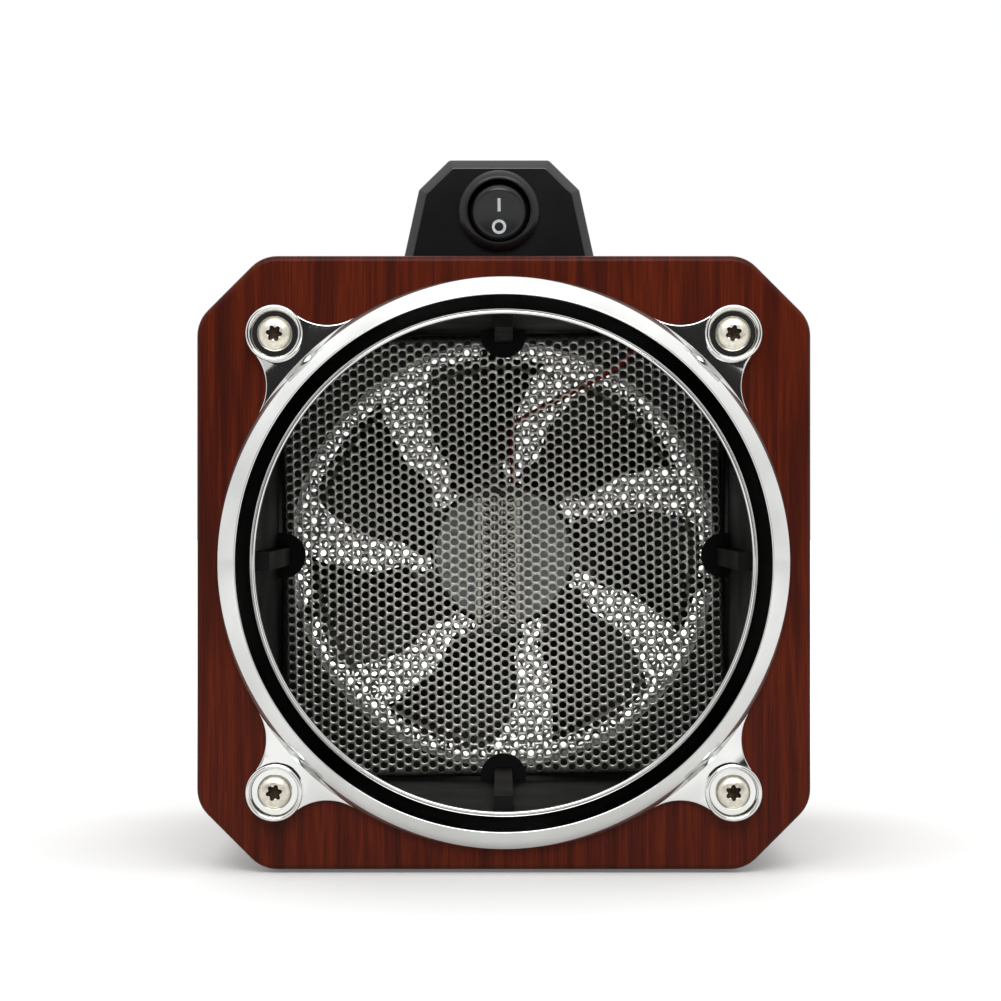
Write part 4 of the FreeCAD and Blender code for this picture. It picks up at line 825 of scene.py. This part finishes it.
GAP_FRONT, GAP_LENGTH, GAP_HEIGHT = 58.0 * MM, 62.0 * MM, 18.0 * MM
gap_y = FACE_Y + GAP_FRONT
gap = side_block("finger_gap", gap_y, gap_y + GAP_LENGTH, ROOF_Z + GAP_HEIGHT, 40.0 * MM, 4.0 * MM)
carve(handle, gap, "DIFFERENCE")
ROOM_FRONT, ROOM_BACK, ROOM_HEIGHT = HANDLE_FRONT + 16.0 * MM, HANDLE_FRONT + 27.0 * MM, 21.0 * MM
room = side_block("wiring_room", ROOM_FRONT, ROOM_BACK, ROOF_Z + ROOM_HEIGHT, 11.0 * MM, 1.0 * MM)
carve(handle, room, "DIFFERENCE")
SWITCH_AXIS = Vector((HANDLE_X, 0.0, ROOF_Z + 14.2 * MM))
NECK_RADIUS, DRILL_LENGTH = 10.0 * MM, 19.0 * MM
drill_points, drill_faces = lathe([(0, HANDLE_FRONT - 1.0 * MM), (NECK_RADIUS, HANDLE_FRONT - 1.0 * MM),
                                   (NECK_RADIUS, HANDLE_FRONT + DRILL_LENGTH),
                                   (0, HANDLE_FRONT + DRILL_LENGTH)], 64, SWITCH_AXIS)
drill = make_piece("switch_drill", drill_points, drill_faces, handle_plastic)
carve(handle, drill, "DIFFERENCE")
smooth_piece(handle, 30.0)
even = handle.modifiers.new("even_shading", "WEIGHTED_NORMAL")
even.keep_sharp = True
add_to("housing", handle, "black_plastic", "handle")

# %% [markdown]
# The switch is a round snap-in rocker switch. Its collar is a ring with a rounded slope
# and a small rolled rim, which stands out of the handle's face. Its sleeve goes through
# the hole and ends in a closed floor. All of it is one lathe profile.

# %% Switch body
switch_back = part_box("switch_body")[1].y
COLLAR_RADIUS, SOCKET_RADIUS = 11.5 * MM, 8.8 * MM
SLOPE_RADIUS, RIM_RADIUS, COLLAR_PROUD = 3.6 * MM, 0.5 * MM, 3.0 * MM
SLOPE_BACK, SLOPE_FRONT, SOCKET_DEPTH = 64.0, 10.0, 12.0 * MM
slope_centre = (COLLAR_RADIUS - SLOPE_RADIUS * math.sin(math.radians(SLOPE_BACK)),
                HANDLE_FRONT - COLLAR_PROUD + SLOPE_RADIUS * math.cos(math.radians(SLOPE_FRONT)))
rim_centre = (SOCKET_RADIUS + RIM_RADIUS, HANDLE_FRONT - COLLAR_PROUD + RIM_RADIUS)
switch_profile = [(COLLAR_RADIUS, HANDLE_FRONT)]
switch_profile += bend(slope_centre, SLOPE_RADIUS, SLOPE_BACK, SLOPE_FRONT, 12)
switch_profile += bend(rim_centre, RIM_RADIUS, 0.0, -90.0, 6)
switch_profile += [(SOCKET_RADIUS, HANDLE_FRONT + SOCKET_DEPTH), (0, HANDLE_FRONT + SOCKET_DEPTH),
                   (0, switch_back), (NECK_RADIUS, switch_back), (NECK_RADIUS, HANDLE_FRONT)]
switch_points, switch_faces = lathe(switch_profile, 96, SWITCH_AXIS)
switch = make_piece("switch_collar", switch_points, switch_faces, switch_nylon, 30.0)
add_to("housing", switch, "switch_plastic", "switch_body")

# %% [markdown]
# The rocker is a round nylon button with a shallow hollow face and a full, rounded edge. It
# is drawn as spokes that run over the face and round the edge. It is built upright at the
# pivot it tips about and then turned to its resting place, with the lower half pressed in.

# %% Rocker
REST_TIP = math.radians(10.0)
PIVOT = Vector((HANDLE_X, HANDLE_FRONT + 2.5 * MM, SWITCH_AXIS.z))
FACE_PROUD, FACE_HOLLOW, FACE_REACH = 5.2 * MM, 1.76 * MM, 10.0 * MM


def face_depth(height):
    """Where the rocker's face is along y from the pivot, at a height above the pivot."""
    return -FACE_PROUD - FACE_HOLLOW * (height / FACE_REACH) ** 2


def tipped(point):
    """A point of the rocker in its resting place."""
    x, y, z = point
    return (PIVOT.x + x, PIVOT.y + y * math.cos(REST_TIP) - z * math.sin(REST_TIP),
            PIVOT.z + y * math.sin(REST_TIP) + z * math.cos(REST_TIP))


AROUND, FACE_EDGE, EDGE_ROUND = 80, 6.3 * MM, 1.75 * MM
SIDE_RADIUS, SIDE_DEPTH, BACK_RADIUS, BACK_DEPTH = FACE_EDGE + EDGE_ROUND, 0.8 * MM, 6.9 * MM, 3.6 * MM
edge_leans = [math.radians(lean) for lean in range(15, 91, 15)]
rocker_points = [tipped((0.0, face_depth(0.0), 0.0))]
for turn in range(AROUND):
    across, up = math.cos(2 * math.pi * turn / AROUND), math.sin(2 * math.pi * turn / AROUND)
    spokes = [(FACE_EDGE * s / 8, face_depth(FACE_EDGE * s / 8 * up)) for s in range(1, 9)]
    spokes += [(FACE_EDGE + EDGE_ROUND * math.sin(lean),
                face_depth(FACE_EDGE * up) + EDGE_ROUND * (1 - math.cos(lean))) for lean in edge_leans]
    spokes += [(SIDE_RADIUS, SIDE_DEPTH), (BACK_RADIUS, BACK_DEPTH)]
    rocker_points += [tipped((reach * across, depth, reach * up)) for reach, depth in spokes]
steps = len(spokes)
rocker_faces = [[1 + turn * steps + steps - 1 for turn in range(AROUND)]]
for turn in range(AROUND):
    here, after = 1 + turn * steps, 1 + (turn + 1) % AROUND * steps
    rocker_faces.append([0, here, after])
    rocker_faces += [[here + s, here + s + 1, after + s + 1, after + s] for s in range(steps - 1)]
rocker = make_piece("switch_rocker", rocker_points, rocker_faces, switch_nylon, 30.0)
add_to("rocker", rocker, "switch_plastic", "rocker")

# %% [markdown]
# The rocker carries the two usual marks: a bar for on and a ring for off. They are thin
# raised shapes of pale paint that follow the hollow of the face and tip with it.

# %% Rocker marks
MARK_RISE = 0.06 * MM
MARK_SINK = 0.1 * MM


def mark_strip(outer, inner):
    """A thin raised strip between two loops of (x, height) points on the rocker's face."""
    steps = len(outer)
    points = []
    for lift in (-MARK_RISE, MARK_SINK):
        for loop in (outer, inner):
            points += [tipped((x, face_depth(height) + lift, height)) for x, height in loop]
    faces = []
    for here in range(steps):
        after = (here + 1) % steps
        for a, b in ((0, 1), (1, 3), (3, 2), (2, 0)):
            faces.append([a * steps + here, a * steps + after, b * steps + after, b * steps + here])
    return points, faces


BAR_HEIGHT, BAR_HALF, BAR_MIDDLE = 3.7 * MM, 0.42 * MM, 2.5 * MM
RING_MIDDLE, RING_OUT, RING_IN = -3.6 * MM, 2.0 * MM, 1.25 * MM
circle = [(math.cos(2 * math.pi * s / 40), math.sin(2 * math.pi * s / 40)) for s in range(40)]
off_points, off_faces = mark_strip([(RING_OUT * c, RING_MIDDLE + RING_OUT * s) for c, s in circle],
                                   [(RING_IN * c, RING_MIDDLE + RING_IN * s) for c, s in circle])
off_mark = make_piece("off_mark", off_points, off_faces, mark_paint)
add_to("rocker", off_mark, "label")
bar_rows = [BAR_MIDDLE + BAR_HEIGHT * (s / 6 - 0.5) for s in range(7)]
bar_section = ((-1, -MARK_RISE), (1, -MARK_RISE), (1, MARK_SINK), (-1, MARK_SINK))
bar_points = [tipped((side * BAR_HALF, face_depth(row) + lift, row))
              for row in bar_rows for side, lift in bar_section]
bar_faces = [[0, 1, 2, 3], [27, 26, 25, 24]]
for row in range(6):
    for s in range(4):
        after = (s + 1) % 4
        bar_faces.append([4 * row + s, 4 * row + after, 4 * row + 4 + after, 4 * row + 4 + s])
on_mark = make_piece("on_mark", bar_points, bar_faces, mark_paint)
add_to("rocker", on_mark, "label")

# %% [markdown]
# The heater stands on a pale floor with a very faint cloud in its tint. A real studio
# sweep has no horizon, so for rays that go straight into the lens the floor glows a
# little, more so further away, and runs into the white behind it.

# %% Floor
floor_finish, floor_tree, floor_shader, floor_place = start_finish("pale_floor", roughness=0.6)
floor_cloud = grain(floor_tree, floor_place, 9.0)
floor_tint = stain(floor_tree, floor_cloud, [(0.3, tint(214, 214, 213)), (0.7, tint(218, 218, 217))])
floor_tree.links.new(floor_tint, floor_shader.inputs["Base Color"])
floor_shader.inputs["Emission Color"].default_value = (1.0, 1.0, 1.0, 1.0)
NEAR_LIFT, FAR_LIFT = 0.14, 1.0
NEAR_REACH, FAR_REACH = 0.1, 0.7
from_middle = floor_tree.nodes.new("ShaderNodeVectorMath")
from_middle.operation = "LENGTH"
floor_tree.links.new(floor_place, from_middle.inputs[0])
fade = floor_tree.nodes.new("ShaderNodeMapRange")
for setting, value in (("From Min", NEAR_REACH), ("From Max", FAR_REACH),
                       ("To Min", NEAR_LIFT), ("To Max", FAR_LIFT)):
    fade.inputs[setting].default_value = value
floor_tree.links.new(from_middle.outputs["Value"], fade.inputs["Value"])
lift = floor_tree.nodes.new("ShaderNodeMath")
lift.operation = "MULTIPLY"
ray_kind = floor_tree.nodes.new("ShaderNodeLightPath")
floor_tree.links.new(ray_kind.outputs["Is Camera Ray"], lift.inputs[0])
floor_tree.links.new(fade.outputs["Result"], lift.inputs[1])
floor_tree.links.new(lift.outputs["Value"], floor_shader.inputs["Emission Strength"])
FLOOR_REACH, FLOOR_CELLS = 6.0, 12
grid = [-FLOOR_REACH + 2 * FLOOR_REACH * i / FLOOR_CELLS for i in range(FLOOR_CELLS + 1)]
floor_points = [(x, y, 0.0) for y in grid for x in grid]
wide = FLOOR_CELLS + 1
floor_faces = [[r * wide + c, r * wide + c + 1, (r + 1) * wide + c + 1, (r + 1) * wide + c]
               for r in range(FLOOR_CELLS) for c in range(FLOOR_CELLS)]
floor = make_piece("studio_floor", floor_points, floor_faces, floor_finish)
print("floor reaches", FLOOR_REACH, "m each way")

# %% [markdown]
# The light is a sky that is brightest overhead, with a darker field in front where a
# viewer stands. Chrome needs that contrast: a mirror in an all-white room looks
# like white paint. Rays that go straight into the lens see plain white instead.

# %% Sky of light
world = bpy.data.worlds.new("studio_sky")
scene.world = world
world.use_nodes = True
sky = world.node_tree
sky.nodes.clear()


def sky_node(kind, **values):
    """A node of the sky with its unlinked inputs set."""
    made = sky.nodes.new(kind)
    for name, value in values.items():
        made.inputs[name.replace("_", " ")].default_value = value
    return made


split = sky_node("ShaderNodeSeparateXYZ")
sky.links.new(sky_node("ShaderNodeTexCoord").outputs["Generated"], split.inputs["Vector"])
FIELD_EDGE, FIELD_MIDDLE = -math.cos(math.radians(44.0)), -math.cos(math.radians(24.0))
field = sky_node("ShaderNodeMapRange", From_Min=FIELD_EDGE, From_Max=FIELD_MIDDLE,
                 To_Min=1.0, To_Max=0.03)
sky.links.new(split.outputs["Y"], field.inputs["Value"])
SIDE_GLOW, TOP_GLOW = 0.9, 1.35
rising = sky_node("ShaderNodeMapRange", From_Min=0.3, From_Max=0.9, To_Min=SIDE_GLOW, To_Max=TOP_GLOW)
sky.links.new(split.outputs["Z"], rising.inputs["Value"])
glow = sky_node("ShaderNodeMath")
glow.operation = "MULTIPLY"
sky.links.new(field.outputs["Result"], glow.inputs[0])
sky.links.new(rising.outputs["Result"], glow.inputs[1])
seen = sky_node("ShaderNodeMix")
seen.inputs["B"].default_value = 1.0
sky.links.new(sky_node("ShaderNodeLightPath").outputs["Is Camera Ray"], seen.inputs["Factor"])
sky.links.new(glow.outputs["Value"], seen.inputs["A"])
background = sky_node("ShaderNodeBackground", Color=(1.0, 1.0, 1.0, 1.0))
sky.links.new(seen.outputs["Result"], background.inputs["Strength"])
output = sky_node("ShaderNodeOutputWorld")
sky.links.new(background.outputs["Background"], output.inputs["Surface"])
print("sky nodes:", len(sky.nodes))

# %% [markdown]
# One wide soft lamp stands high in front of the heater. It reaches over the bezel's upper
# edge into the lower half of the deep duct, and leaves the upper half in shade.

# %% Soft lamp
LAMP_PLACE = Vector((0.0, -1.3, 1.0))
lamp = bpy.data.lights.new("front_lamp", "AREA")
lamp.shape = "RECTANGLE"
lamp.size, lamp.size_y = 1.0, 0.8
lamp.energy = 13.0
lamp_stand = bpy.data.objects.new("front_lamp", lamp)
lamp_stand.location = LAMP_PLACE
lamp_stand.rotation_euler = (AXIS - LAMP_PLACE).to_track_quat("-Z", "Y").to_euler()
scene.collection.objects.link(lamp_stand)
print("lamp stands", round((AXIS - LAMP_PLACE).length, 2), "m from the heater")
